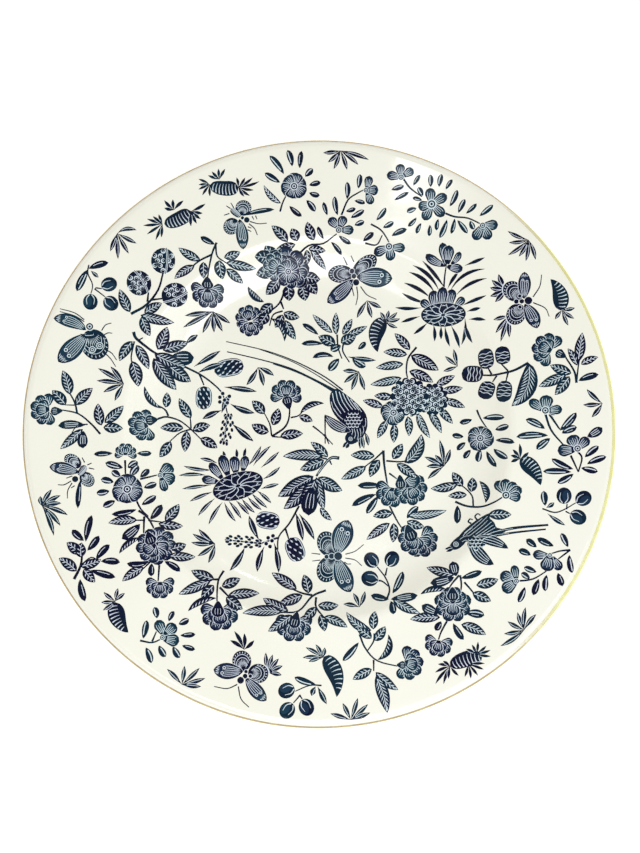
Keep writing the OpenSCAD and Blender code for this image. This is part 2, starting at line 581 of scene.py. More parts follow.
def stem(marks, width, *places, tone=DARK, end=0.6):
    """Stems through points, thinner towards the end. A thick one has a bare core."""
    for place in places:
        line = smooth(place)
        marks.append((band(line, np.linspace(1, end, len(line)) * width / 2), tone))
        if width > 1.7 and tone == DARK:
            cut(marks, line[1:-1], FINE * 0.4)


def hair(marks, width, *places):
    """Feelers and thin tails."""
    stem(marks, width, *places, end=0.7)


def scratch(marks, width, *places):
    """Fine lines taken out of the ink."""
    stem(marks, width, *places, tone=BARE, end=0.8)


def blot(marks, tone, *places):
    """Smooth closed shapes through their points."""
    for place in places:
        marks.append((closed(place), tone))


def blade(marks, width, *places):
    """Pointed blades in a thin bare halo, with a bare slit where they are broad."""
    for place in places:
        line = bowed(place)
        half = pointed(len(line), width * 1.15, 0.58, 1.0)
        cut(marks, line[2:], half[2:] + 0.25)
        marks.append((band(line, half), DARK))
        if width > 1.7:
            slit = beside(line, half, 0.25)[2:-1]
            cut(marks, slit, FINE * 0.45)


def tuft(marks, width, base, *tips):
    """Blades that fan out of one point."""
    blade(marks, width, *[(*base, *tip) for tip in tips])


def veined(marks, width, *places):
    """Leaves with a bare midrib and thin bare side veins."""
    for place in places:
        line = bowed(place, 13)
        half = pointed(len(line), width * 1.1, 0.45, 0.75)
        marks.append((band(line, half), DARK))
        rib = line[1:-2]
        cut(marks, rib, np.linspace(LINE, FINE * 0.6, len(rib)) / 2)
        reach = np.linspace(0, 1, len(line))
        count = max(3, round(np.hypot(*(line[-1] - line[0])) / 1.9))
        for side in (1, -1):
            outer = beside(line, half, 0.74 * side)
            for k in range(1, count):
                t = (k - 0.25 * side) / count
                start = [np.interp(t, reach, line[:, i]) for i in (0, 1)]
                end = [np.interp(min(t + 0.16, 0.96), reach, outer[:, i]) for i in (0, 1)]
                marks.append((dash(start, end, 0.46), BARE))


def cored(marks, width, *places):
    """Narrow leaves, dark along one side and open along the other."""
    for place in places:
        line = bowed(place, 11)
        half = pointed(len(line), width * 1.2, 0.58, 0.52)
        marks.append((band(line, half), DARK))
        half_gap = np.clip(half * 0.2, 0.12, 0.26)
        cut(marks, beside(line, half, 0.34)[2:-1], half_gap[2:-1])
        if width > 3:
            cut(marks, beside(line, half, -0.4)[3:-3], 0.12)


def solid(marks, width, *places):
    """Dark leaves with one thin highlight, and a second one where they are broad."""
    for place in places:
        line = bowed(place)
        half = pointed(len(line), width * 1.22, 0.58, 0.52)
        marks.append((band(line, half), DARK))
        for share in (0.35,) if width < 3.4 else (0.5, 0.05, -0.4):
            shine = beside(line, half, share)[2:-2]
            cut(marks, shine, 0.15)


def crescent(marks, width, *places):
    """Curled leaves, seen edge on, with short bare veins on the inner side."""
    for place in places:
        line = bowed(place, 17)
        half = pointed(len(line), width, 0.5, 0.8)
        marks.append((band(line, half), DARK))
        side = -1 if place[4] > 0 else 1
        for k in range(2, len(line) - 3, 2):
            start = beside(line, half, -0.25 * side)[k]
            end = beside(line, half, 0.8 * side)[k + 2]
            marks.append((dash(start, end, 0.5), BARE))


def petal(marks, width, *places):
    """Petals from the eye out to their round ends, with fine bare lines along them."""
    for place in places:
        line = bowed(place, 14)
        half = rounded(len(line), width)
        body(marks, line, half, 0.32)
        marks.append((band(line[3:-2], np.maximum(half[3:-2] - 0.6, 0.1)), MID))
        count = max(2, round(width / 1.3))
        for k in range(count):
            share = 1.5 * (k + 0.5) / count - 0.75
            last = -3 if (k + count) % 2 else -4
            strand = beside(line, half, share)[3:last]
            cut(marks, strand, np.linspace(0.17, 0.1, len(strand)))


def eye(marks, radius, *places):
    """The middle of an open flower: a ring round a dot."""
    for x, y in places:
        marks.append((disc(x, y, radius * 1.3), BARE))
        marks.append((disc(x, y, radius), DARK))
        marks.append((disc(x, y, radius * 0.62), BARE))
        marks.append((disc(x, y, radius * 0.36, count=8), DARK))


def flower(marks, radius, *places):
    """Open flowers, each (x, y, number of petals, turn)."""
    for x, y, count, turn in places:
        for k in range(count):
            ahead = radius * toward(turn + 360 * k / count)
            start = np.array([x, y]) + ahead * 0.12
            end = np.array([x, y]) + ahead * (1 if k % 2 else 0.92)
            width = 2.3 * radius * math.sin(math.pi / count)
            petal(marks, width * 0.93, (*start, *end, 0))
        eye(marks, radius * 0.24, (x, y))


def dome(marks, radius, *places):
    """Full heads of a double flower, each (x, y, direction), with broad lobes round the rim."""
    layers = ((6, 0.15, 1.0, 0.64, 0.5), (3, -0.12, 0.66, 0.72, 0.27))
    for x, y, turn in places:
        centre = np.array([x, y])
        for count, near, far, share, open_by in layers:
            for k in np.argsort(-np.abs(np.arange(count) - (count - 1) / 2)):
                ahead = radius * toward(turn + DOME_SPAN * open_by * (2 * k / (count - 1) - 1))
                petal(marks, radius * share, (*(centre + near * ahead), *(centre + far * ahead), 0))


def calyx(marks, width, *places):
    """Cups under a flower, from the stem to the flower."""
    for place in places:
        line = bowed(place, 12)
        half = rounded(len(line), width, 0.15)
        body(marks, line, half)
        for share in (-0.45, 0.0, 0.45):
            strand = beside(line, half, share)[5:-2]
            cut(marks, strand, 0.11)


def cherry(marks, radius, *places):
    """Cherries, each (x, y, direction of the stem), split by two bare curves from the stem."""
    for x, y, turn in places:
        ahead = radius * toward(turn)
        side = np.array([-ahead[1], ahead[0]])
        centre = np.array([x, y])
        marks.append((disc(x, y, radius * 1.05 + 0.3, 0.93, turn), BARE))
        marks.append((disc(x, y, radius * 1.05, 0.9, turn, 20), DARK))
        marks.append((disc(*(centre + side * 0.3), radius * 0.72, 0.72, turn), MID))
        for share in (0.5, -0.5):
            aside = side * share
            start = centre + ahead * 0.95 + aside * 0.3
            end = centre - ahead * 0.35 + aside * 0.85
            curve = (*start, *(centre + ahead * 0.4 + aside), *end)
            cut(marks, smooth(curve), np.linspace(0.26, 0.1, 9))


def curls(marks, radius, x, y, span, keep):
    """Small bare curls packed over a disc, where keep(x, y) allows one."""
    step = radius * 2.3
    reach = int(span / step) + 1
    for row in range(-reach, reach + 1):
        for column in range(-reach, reach + 1):
            px = x + step * (column + 0.5 * (row % 2))
            py = y + step * 0.87 * row
            if math.hypot(px - x, py - y) < span - radius and keep(px, py):
                aside = 2.4 * (3 * row + column)
                marks.append((disc(px, py, radius, count=12), BARE))
                marks.append((disc(px + radius * 0.25 * math.cos(aside),
                                   py + radius * 0.25 * math.sin(aside), radius * 0.72, count=10), DARK))
                marks.append((disc(px, py, radius * 0.22, count=6), BARE))


def walnut(marks, radius, *places):
    """Round pods split by a seam, with curls on both halves, each (x, y, seam direction)."""
    for x, y, turn in places:
        ahead = toward(turn)
        side = np.array([-ahead[1], ahead[0]])
        middle = np.array([x, y]) - side * radius * 0.2
        marks.append((disc(x, y, radius, 0.93, turn, 22), DARK))

        def off_seam(px, py):
            return abs((np.array([px, py]) - middle) @ side) > 1.1

        curls(marks, 1.28, x, y, radius + 0.1, off_seam)
        seam = bowed((*(middle - ahead * radius * 1.02), *(middle + ahead * radius * 1.02), -0.06))
        body(marks, seam, 0.2, 0.3)


def hydrangea(marks, radius, *places):
    """Round heads of tiny florets, each (x, y)."""
    for x, y in places:
        marks.append((disc(x, y, radius * 1.06, count=24), BARE))
        for k in range(FLORETS):
            angle = 2 * math.pi * k / FLORETS
            rim = (x + radius * 0.88 * math.cos(angle), y + radius * 0.88 * math.sin(angle))
            marks.append((disc(*rim, radius * 0.2, count=10), DARK))
        marks.append((disc(x, y, radius * 0.94, count=28), DARK))
        curls(marks, 1.32, x, y, radius, lambda px, py: True)


def cone(marks, width, *places):
    """Cones crossed by thin bare waves."""
    for place in places:
        line = bowed(place, 21)
        half = stout(len(line), width)
        marks.append((band(line, half), DARK))
        length, ahead = run(line)
        for k in range(1, int(length / 1.6)):
            i = round(k * 1.6 / length * (len(line) - 1))
            side = across(line)[i] * half[i]
            wave = [line[i] + side * f + ahead * 0.3 * math.cos(6 * f + 2 * k)
                    for f in np.linspace(-0.84, 0.84, 9)]
            cut(marks, np.array(wave), 0.17)


def husk(marks, width, *places):
    """Oval husks: an outline round a core with bare nicks."""
    for place in places:
        line = bowed(place, 17)
        half = stout(len(line), width)
        body(marks, line, half)
        cut(marks, line[1:-1], half[1:-1] - 0.42)
        marks.append((band(line[1:-1], half[1:-1] - 0.85), DARK))
        length, ahead = run(line)
        rows = max(3, int(length / 2.2))
        for row in range(rows):
            i = round((row + 0.7) / (rows + 0.4) * (len(line) - 1))
            side = across(line)[i] * half[i]
            for f in (-0.4, 0.4) if row % 2 else (-0.66, 0.0, 0.66):
                start = line[i] + side * (f - 0.14)
                marks.append((dash(start - ahead * 0.7, start + ahead * 1.2 + side * 0.24, 0.85), BARE))


def catkin(marks, width, *places):
    """Catkins: plump drops round a stalk."""
    for place in places:
        line = bowed(place, 15)
        half = stout(len(line), width)
        stem(marks, 1.0, (*line[0], *line[-1]))
        length, ahead = run(line)
        rows = max(3, int(length / 1.9))
        for row in range(rows):
            i = round((row + 0.5) / rows * (len(line) - 1))
            side = across(line)[i] * half[i]
            for f in (-0.5, 0.5) if row % 2 else (-0.85, 0.0, 0.85):
                start = line[i] + side * f * 0.6
                lean = math.degrees(math.atan2(*(ahead + side * f * 0.12)[::-1]))
                drop = start + side * f * 0.3
                marks.append((disc(*drop, 1.35, 0.66, lean, 10), BARE))
                marks.append((disc(*drop, 1.1, 0.66, lean, 10), DARK))


def pod(marks, width, *places):
    """Ribbed pods: blunt at the base, bowed and drawn out to a point, darkest down one side."""
    for place in places:
        line = bowed(place, 21)
        half = pointed(len(line), width * 0.9, 0.34, 0.75)
        side = 1 if place[4] > 0 else -1
        body(marks, line, half)
        for k in range(2, 17, 2):
            ahead = line[k + 1] - line[k]
            rib = np.array([line[k] + across(line)[k] * half[k] * f * side + ahead * 0.8 * f * f
                            for f in np.linspace(0.8, -0.3, 6)])
            cut(marks, rib, np.linspace(0.3, 0.08, 6))


def grub(marks, width, *places):
    """Plump striped bodies of spiky grubs."""
    for place in places:
        line = bowed(place, 19)
        half = stout(len(line), width) * np.linspace(0.86, 1.06, 19)
        marks.append((band(line, half), DARK))
        for k in range(2, len(line) - 2, 2):
            curve = np.array([beside(line, half, f)[k] + (line[k + 1] - line[k]) * 0.9 * f * f
                              for f in np.linspace(-0.86, 0.6, 6)])
            cut(marks, curve, np.linspace(0.28, 0.08, 6))


def wing(marks, width, *places):
    """Long insect wings from the body out: fine veins along them and ring spots near the tip."""
    for place in places:
        line = bowed(place, 21)
        half = pointed(len(line), width * 1.02, 0.55, 0.6)
        body(marks, line, half)
        marks.append((band(line[2:-2], half[2:-2] - 0.6), MID))
        count = max(3, round(width / 1.4))
        for k in range(count):
            strand = beside(line, half, 1.5 * (k + 0.5) / count - 0.75)
            cut(marks, strand[2 + k % 2:15], 0.13)
            marks.append((dash(strand[16], strand[18 + k % 2], 0.4), BARE))
        for share, step in ((-0.4, 13), (0.3, 14)):
            spot = beside(line, half, share)[step]
            marks.append((disc(*spot, width * 0.15, count=12), DARK))
            marks.append((disc(*spot, width * 0.11, count=12), BARE))
            marks.append((disc(*spot, width * 0.06, count=8), DARK))


def fan(marks, width, *places):
    """Short round wings: fine ribs from the body, bare arches and a ticked rim."""
    for place in places:
        base = np.array(place[:2])
        ahead = np.array(place[2:4]) - base
        length = np.hypot(*ahead)
        turn = math.degrees(math.atan2(ahead[1], ahead[0]))
        rim = disc(*(base + ahead * 0.5), length * 0.54, width / length * 0.95, turn, 40)
        sweep = np.roll(rim, 12, axis=0)[:25] - base
        marks.append((base + (rim - base) * (1 + 0.7 / length), BARE))
        marks.append((rim, DARK))
        for share in (0.64, 0.8):
            cut(marks, base + sweep[2:-2] * share, 0.15)
        for k in range(2, 24, 2):
            marks.append((dash(base + sweep[k] * 0.2, base + sweep[k] * 0.6, 0.34), BARE))
            marks.append((dash(base + sweep[k] * 0.84, base + sweep[k] * 0.96, 0.46), BARE))


def dot(marks, radius, *places):
    """Round dots in a thin bare halo."""
    for x, y in places:
        marks.append((disc(x, y, radius + FINE), BARE))
        marks.append((disc(x, y, radius, count=12), DARK))


def pad(marks, radius, *places):
    """Lotus pads, each (x, y, direction): a dark oval with forked bare veins."""
    for x, y, turn in places:
        marks.append((disc(x, y, radius + LINE, 0.52, turn, 40), BARE))
        rim = disc(x, y, radius, 0.52, turn, 60)
        marks.append((rim, DARK))
        centre = np.array([x, y])
        for k in range(0, 60, 6):
            out = rim[k] - centre
            bend = centre + (rim[(k + 2) % 60] - centre) * 0.35
            fork = centre + out * 0.58
            scratch(marks, 0.46, (*(centre + out * 0.08), *bend, *fork))
            for shift in (-2, 2):
                aim = centre + (rim[(k + shift) % 60] - centre) * 0.93
                cut(marks, smooth((*fork, *aim)), 0.15)
                knee = fork + (aim - fork) * 0.5
                side = centre + (rim[(k + 2 * shift) % 60] - centre) * 0.84
                marks.append((dash(knee, side, 0.34), BARE))
        marks.append((disc(x, y, radius * 0.1, 0.6, turn, 8), DARK))


def plume(marks, width, *places):
    """Feathers laid side by side: a dark band split by bare lines along its length."""
    for place in places:
        line = bowed(place, 13)
        half = pointed(len(line), width, 0.5, 0.7)
        body(marks, line, half, 0.2)
        count = max(2, round(width / 1.5))
        for k in range(count):
            share = 1.6 * (k + 0.5) / count - 0.8
            strand = beside(line, half, share)[1 + k % 2:-2]
            cut(marks, strand, 0.14)


def scales(marks, radius, *places):
    """A patch of small bare breast feathers round each place."""
    for x, y in places:
        reach = int(radius / 1.2) + 1
        for row in range(-reach, reach + 1):
            for column in range(-reach, reach + 1):
                px = x + 1.9 * column + 0.95 * (row % 2)
                py = y + 1.7 * row
                if math.hypot(px - x, py - y) < radius:
                    marks.append((disc(px, py, 0.95, 0.85, 0, 10), BARE))
                    marks.append((disc(px, py + 0.28, 0.72, 0.85, 0, 10), DARK))


# ---------------------------------------------------------------- the print's motifs
# Each motif is a list of (tool, size, places). Places are millimetres on the plate seen
# from above: a leaf or petal runs from its base to its tip, and a stem through its points.
MOTIFS = {
    # Top of the rim
    "bamboo_rim_1": [(tuft, 2.0, (12, 146), (3, 145), (5.5, 140), (8.5, 136.5), (15.5, 136),
                      (21.5, 138.5), (27, 141))],
    "grub_rim_1": [
        (grub, 8.0, (-57, 128, -42, 127, -0.08)),
        (tuft, 1.3, (-52, 131), (-58, 133), (-56, 135), (-52.5, 136.5), (-49, 136.5)),
        (tuft, 1.2, (-57, 128), (-63, 131), (-63, 128), (-63, 125.5), (-61, 122.5), (-57, 122)),
        (tuft, 1.3, (-42, 127), (-31, 130), (-34.5, 132), (-38.5, 132), (-43, 132), (-34, 125.5),
         (-36, 122.5), (-39, 122)),
    ],
    "grub_rim_2": [
        (grub, 8.0, (-81, 107, -67, 114, -0.06)),
        (tuft, 1.5, (-67, 114), (-59.5, 118), (-61, 113), (-62, 110), (-64, 107.5), (-67, 106)),
        (tuft, 1.5, (-76, 114.5), (-81, 119.5), (-76.5, 120), (-71, 119.5), (-81, 115.5)),
        (tuft, 1.3, (-82, 107), (-92, 106), (-90, 109.5), (-90, 101.5), (-85.5, 98.5), (-82.5, 100),
         (-84, 112), (-87, 111)),
    ],
    "bamboo_rim_2": [(tuft, 2.0, (-105.5, 101.5), (-95.5, 103.5, 0.15), (-95.5, 96.5),
                      (-99.5, 91), (-105, 88), (-109, 92))],
    "daisy_rim_1": [
        (stem, 1.0, (-20, 114, -18.5, 119, -16, 124)),
        (flower, 7.2, (-12.5, 127.5, 6, 20)),
        (cored, 2.8, (-18, 134, -25.5, 143.5), (-13.5, 138, -16, 146.5), (-20, 129.5, -28, 134.5),
         (-6.5, 132.5, -2.5, 136.5), (-6, 120, -1.5, 114)),
        (solid, 2.4, (-9.5, 137, -8.5, 146), (-4.5, 128, 1.5, 129.5), (-4.5, 124, 1, 122.5),
         (-15, 117, -8.5, 111.5)),
        (veined, 3.0, (-19.5, 118.5, -28.5, 128, 0.1)),
    ],
    "bee_rim_1": [
        (fan, 8.2, (-40.5, 112.3, -38.2, 119.6), (-43.5, 109.8, -47.8, 102.6)),
        (wing, 6.4, (-41.5, 110, -39.5, 94)),
        (solid, 2.2, (-39.5, 112, -23, 115.2)),
        (grub, 3.4, (-41, 111.2, -46, 115.4, 0)),
        (dot, 0.9, (-39.9, 110.7)),
        (dot, 1.5, (-37.6, 109.6)),
        (hair, 0.6, (-36, 108.8, -31.5, 107.6, -27, 107.9), (-36.4, 107.6, -33.5, 105, -32, 101.5),
         (-34.8, 111.6, -33.9, 109.8), (-33, 111.9, -32.2, 110), (-37, 106, -35.2, 105.2),
         (-37.2, 104.4, -35.2, 103.4), (-44.5, 116, -46, 118.6), (-46.2, 115.6, -48.4, 117),
         (-46.8, 113, -49.6, 112)),
    ],
    "plum_branch_1": [
        (stem, 1.0, (-12, 91, -5, 96.5, 3, 97.5, 10, 102), (12.5, 112, 16, 120, 21, 123.5, 25, 125.5)),
        (veined, 5.0, (-16, 98, -24.5, 106.5), (-11, 98.5, -14, 105), (-2, 99, -5.5, 108.5)),
        (veined, 3.6, (-12, 97, -22.5, 94), (-5, 95, 4, 94), (-4, 94.5, 4, 85), (-6, 94.5, -6, 87.5)),
        (solid, 2.0, (3, 99.5, 0, 106), (5, 112, 3, 119), (11, 101, 17.5, 97), (7, 98, 12.5, 92)),
        (cored, 2.5, (15.5, 120.5, 15.5, 129.5), (21.5, 126, 22.5, 133.5), (10.5, 112, 9, 122),
         (17.5, 110.5, 24.5, 114.5), (19.5, 106.5, 24.5, 108.5)),
        (solid, 2.0, (19.5, 119.5, 25, 118), (15, 114, 20, 115.5)),
        (petal, 5.2, (11, 105, 6, 110.5, 0), (11.5, 105, 14, 111.5, 0), (12, 104, 19, 104, 0)),
        (eye, 1.5, (11, 104)),
        (petal, 4.6, (26, 125.5, 27.5, 132.5, 0), (26, 124, 28.5, 117.5, 0)),
        (petal, 5.6, (26, 125, 32, 125, 0)),
        (eye, 1.2, (25.5, 125)),
    ],
    "plum_branch_2": [
        (stem, 1.0, (28, 107, 33, 104, 36, 100, 38, 96), (25, 97, 31, 96, 34, 101)),
        (cored, 2.4, (31, 109, 36, 115.5), (34.5, 105, 40, 108)),
        (solid, 2.6, (39, 100.5, 47, 104), (24, 98, 29.5, 102.5)),
        (petal, 5.2, (38, 94.5, 29.5, 92, 0), (38.5, 94.5, 46, 94, 0), (38, 95, 38.5, 88, 0)),
        (eye, 1.7, (37.5, 95)),
    ],
    "plum_branch_3": [
        (stem, 1.1, (45, 131, 49, 125.5, 55, 121), (67, 112, 72, 110, 79, 109, 86, 105.5)),
        (petal, 5.0, (44, 131.5, 36.5, 133, 0), (44, 132, 43.5, 138.5, 0), (45, 132, 50.5, 135.5, 0)),
        (eye, 1.4, (44, 131.5)),
        (petal, 5.6, (60, 117, 59, 125.5, 0), (60, 117, 68, 121.5, 0), (60, 117, 66.5, 110.5, 0),
         (60, 117, 56, 108.5, 0), (60, 117, 53, 115.5, 0)),
        (eye, 2.0, (60, 117)),
        (petal, 5.6, (86.5, 105, 94.5, 105, 0), (86.5, 105, 90, 97.5, 0), (86.5, 105, 82, 97.5, 0)),
        (eye, 1.4, (86.5, 105)),
        (cored, 2.4, (39, 125, 45.5, 127), (59.5, 126, 59.5, 132.5), (64, 126, 65.5, 132.5),
         (69.5, 115.5, 73.5, 124), (74, 112, 77.5, 119), (85, 110, 92, 115.5), (73.5, 108, 78.5, 101),
         (68, 108.5, 64, 99), (52, 115, 47, 113), (55.5, 121.5, 53, 126), (80, 107.5, 82, 103)),
        (solid, 1.9, (40.5, 119.5, 48, 123.5), (67.5, 124.5, 71, 129.5), (78, 111.5, 83.5, 116.5),
         (72, 109, 70, 101), (63.5, 109, 62.5, 103), (59, 106, 58.5, 100), (54.5, 107, 52, 101.5),
         (52, 110, 47.5, 105.5), (55, 119, 50, 120.5), (50.5, 127, 54, 132.5)),
    ],
    "bamboo_rim_3": [(tuft, 1.9, (110, 96.5), (99.5, 101.5), (100, 95.5), (99.5, 89), (105, 88),
                      (108.5, 85.5), (113.5, 86))],
    # Right of the rim
    "bee_rim_2": [
        (tuft, 2.4, (98, 71), (94.5, 79), (91, 76), (90, 72), (90, 67.5), (92.5, 64.5)),
        (tuft, 2.0, (99.5, 57), (91.5, 55), (92.5, 48), (95, 43.5), (99.5, 45.5)),
        (fan, 9.6, (105.8, 66, 98.2, 73.6), (105.6, 62.4, 100.8, 53)),
        (wing, 6.4, (107.4, 65.6, 107.8, 79.8)),
        (wing, 7.2, (107.6, 63, 113.8, 50)),
        (dot, 0.9, (105.2, 67.2), (105.2, 61.4)),
        (dot, 1.2, (103.4, 64.4), (106.2, 64.4)),
        (dot, 2.0, (109.6, 64.7)),
        (hair, 0.6, (112, 66.5, 115.5, 72, 116.5, 78), (112, 63.5, 118, 60.5, 120, 56)),
    ],
    "pod_rim_1": [
        (pod, 9.0, (125.5, 59, 121, 75.5, -0.14)),
        (tuft, 1.8, (126.5, 59), (133, 60), (132.5, 54.5), (129.5, 51), (123, 54.5)),
    ],
    "peony_spray_rim": [
        (stem, 1.3, (133, 21, 132, 27, 127.5, 35)),
        (stem, 0.9, (133, 21, 134, 29, 135, 34)),
        (dome, 9.0, (119.5, 38.5, 150)),
        (calyx, 5.0, (128, 34.5, 123, 37.5, 0)),
        (veined, 5.0, (134, 32, 136.5, 47), (130.5, 26, 120, 30.5), (128, 25.5, 114, 19.5),
         (129.5, 24.5, 122, 15)),
        (veined, 3.6, (135.5, 30.5, 144, 34), (133.5, 30, 129, 39)),
        (solid, 3.0, (134, 22, 144, 25)),
    ],
    "bamboo_rim_4": [(tuft, 2.2, (145.5, 10), (138, 17.5), (136, 9.5), (140, 3))],
    "plum_branch_4": [
        (stem, 1.3, (116.5, 7, 119.5, -3, 125.5, -11), (119, 5, 124, -3)),
        (petal, 5.4, (116.5, 7, 109, 12.5, 0), (117, 8, 123.5, 6.5, 0)),
        (petal, 7.0, (117, 7, 118, 15, 0)),
        (petal, 5.0, (118, 7, 125.5, 7.5, 0)),
        (eye, 1.7, (117, 7)),
        (cored, 3.2, (116.5, -2.5, 107, 2.5), (118, -6, 102, -6.5), (119, -7.5, 112, -13),
         (124, -3.5, 132.5, 5.5), (125, -5, 132.5, -2)),
    ],
    "plum_branch_5": [
        (stem, 1.1, (132.5, -14.5, 134.5, -18, 132.5, -25), (129, -16.5, 132.5, -25)),
        (petal, 7.0, (132, -13, 129.5, -6, 0)),
        (petal, 5.4, (133, -13, 138, -7.5, 0)),
        (petal, 6.4, (131.5, -13.5, 122.5, -14, 0)),
        (eye, 1.6, (132.5, -13)),
        (solid, 3.8, (137.5, -7, 145, -2.5)),
        (cored, 2.8, (136, -17.5, 143, -12), (137, -21, 146.5, -17.5), (134, -23, 142, -25),
         (130, -23.5, 119.5, -18), (129, -25, 115, -24.5), (130, -26, 122, -30.5)),
    ],
    "pod_rim_2": [
        (pod, 9.0, (103.5, -18, 113.5, -31.5, 0.12)),
        (tuft, 1.5, (103.5, -18), (103.5, -10), (100, -13), (108, -14.5), (99, -16), (99, -19.5)),
    ],
    "cherries_rim_1": [
        (stem, 0.8, (114, -43.5, 120, -45.5, 125, -44, 131, -40.5), (126, -44, 126.5, -40),
         (125.5, -45, 129, -47)),
        (cherry, 4.0, (125, -37, 265), (134.5, -38.5, 215), (131.5, -48, 150)),
        (cored, 3.0, (115.5, -42, 115, -34.5)),
        (blade, 2.0, (116, -43, 120, -40.5), (116.5, -46, 125, -52)),
    ],
    "plum_branch_6": [
        (stem, 1.0, (127, -64.5, 122, -65, 117, -66.5), (127, -64.5, 121, -69),
         (100, -80, 108, -79, 115, -75)),
        (petal, 5.0, (116.5, -67.5, 108.5, -66.5, 0), (118, -68, 122, -74.5, 0)),
        (petal, 7.0, (117, -67, 114.5, -75, 0)),
        (eye, 1.0, (117, -67)),
        (petal, 6.4, (100, -80, 92, -76.5, 0), (100, -80, 93, -85, 0)),
        (petal, 4.4, (100, -79.5, 99, -72, 0)),
        (eye, 1.2, (100, -80)),
        (cored, 2.6, (126, -63, 123, -56), (126.5, -67, 127.5, -76), (110, -75.5, 104, -73),
         (106.5, -79, 102.5, -76), (104, -83, 100.5, -90.5), (115, -77, 114, -85)),
        (solid, 2.8, (119, -62.5, 111, -58.5), (110.5, -63, 105.5, -59), (107.5, -67, 101.5, -64.5),
         (111, -79, 108, -87), (120.5, -76, 122.5, -82.5)),
    ],
    "bamboo_rim_5": [(tuft, 2.0, (103, -104), (93, -106), (91, -112), (95, -100), (100, -95.5),
                      (104, -93), (109, -96.5))],
    # Foot of the rim
    "grub_rim_3": [
        (grub, 8.0, (66, -122, 82, -117, 0.06)),
        (tuft, 1.3, (66, -122), (58.5, -130.5), (62.5, -130.5), (65, -128), (70, -126.5),
         (58.5, -125), (60, -121), (62.5, -119.5)),
        (tuft, 1.2, (79, -116), (80, -110), (77, -111.5), (74, -113.5), (84, -112), (86, -114),
         (86, -117)),
        (tuft, 1.2, (75, -121), (83, -120.5), (82.5, -123.5), (79.5, -126.5), (76, -128), (73, -127)),
    ],
    "peony_branch_1": [
        (stem, 1.0, (21, -106.5, 24, -113.5, 30, -119.5, 42, -122.5), (28.5, -106, 28, -110, 25, -114.5),
         (28, -119, 28, -124.5)),
        (dome, 8.5, (44.5, -120.5, -15)),
        (calyx, 4.0, (39.5, -121.5, 44, -121.5, 0)),
        (veined, 4.4, (27, -104.5, 14.5, -95.5, 0.12), (28, -104, 29, -95), (27, -108.5, 19.5, -103.5),
         (28.5, -109.5, 34, -102.5), (27, -123.5, 17.5, -128.5), (29, -125, 40, -133.5)),
        (veined, 5.6, (29, -127, 34.5, -144.5)),
        (cored, 2.8, (20.5, -110.5, 12.5, -119.5)),
        (crescent, 3.6, (30, -119, 35.5, -106.5, -0.22)),
    ],
    "bamboo_rim_6": [(tuft, 2.0, (16.5, -148), (6.5, -145), (12.5, -140), (20, -137.5),
                      (25, -140.5), (26, -144.5))],
    "cherries_rim_2": [
        (stem, 0.8, (2, -131.5, -4, -131.5, -11.5, -134.5), (-8.5, -136, -12, -140),
         (-9, -136, -7, -139)),
        (cherry, 4.0, (-15.5, -134, 20), (-15, -143.5, 50), (-5.5, -142, 120)),
        (cored, 2.8, (-1, -131, -11.5, -127.5)),
        (blade, 2.4, (0, -132, 4.5, -140.5), (-1, -132, -3, -136.5)),
    ],
    "pod_rim_3": [
        (pod, 9.5, (3, -117.5, 9.5, -137, 0.14)),
        (tuft, 1.8, (2.5, -118), (-6, -113), (-1, -111.5), (3.5, -113), (-7.5, -118), (-4.5, -120)),
    ],
    "bee_rim_3": [
        (tuft, 1.7, (-37, -114), (-44, -109.5), (-42, -105), (-37, -106), (-32, -109.5)),
        (tuft, 2.0, (-24.5, -125.5), (-26, -115.5), (-22.5, -116.5), (-19.5, -118.5),
         (-17.5, -122), (-18, -126.5)),
        (fan, 9.2, (-36.8, -124.2, -39.2, -115), (-34.4, -125.4, -25, -126)),
        (wing, 7.8, (-37.2, -124.6, -52, -123.8)),
        (wing, 6.6, (-35.8, -127.8, -25.4, -138.8)),
        (dot, 0.9, (-35.8, -124.8), (-33.6, -127)),
        (dot, 1.2, (-36.2, -127)),
        (dot, 1.7, (-38.4, -129)),
        (hair, 0.6, (-40, -131, -45, -133, -51.5, -132), (-39.5, -132, -38, -138, -34, -142)),
    ],
    "bamboo_rim_7": [(tuft, 2.0, (-67.5, -131), (-75, -123.5), (-66.5, -122), (-59, -123),
                      (-56, -128), (-58, -132))],
    "plum_sprig_rim": [
        (stem, 1.0, (-89, -109.5, -83, -110.5, -78, -108.5), (-83, -110, -81, -105)),
        (petal, 5.6, (-77, -107, -81, -99.5, 0)),
        (petal, 6.2, (-77, -107, -71.5, -101.5, 0), (-77.5, -108.5, -69.5, -110, 0)),
        (eye, 1.2, (-78, -108)),
        (cored, 2.8, (-87.5, -108.5, -86, -99.5), (-81, -98.5, -82.5, -93), (-70, -101.5, -65, -99),
         (-72.5, -112.5, -69, -118), (-79.5, -112, -76, -117.5), (-86, -113, -83, -120.5)),
        (solid, 2.2, (-75, -100, -72.5, -95), (-69, -107, -61.5, -106.5), (-68, -112, -61.5, -114)),
    ],
    "pod_rim_4": [
        (pod, 9.5, (-102, -90.5, -95, -105.5, -0.12)),
        (tuft, 1.8, (-102, -90), (-108, -85.5), (-101, -83.5), (-97.5, -86), (-109, -90.5),
         (-108, -94.5)),
    ],
    "leafy_plant_rim": [
        (stem, 1.5, (-123, -79, -120, -72, -119.5, -64)),
        (veined, 5.0, (-122, -75, -131, -68.5), (-120.5, -66.5, -127.5, -60.5),
         (-120, -68, -120, -60.5)),
        (veined, 4.6, (-120, -72.5, -110, -69), (-118.5, -74, -112.5, -80.5)),
        (solid, 3.0, (-119, -59.5, -125, -54), (-118, -60, -115.5, -46.5), (-117, -64.5, -111.5, -57),
         (-112.5, -69, -106, -61.5)),
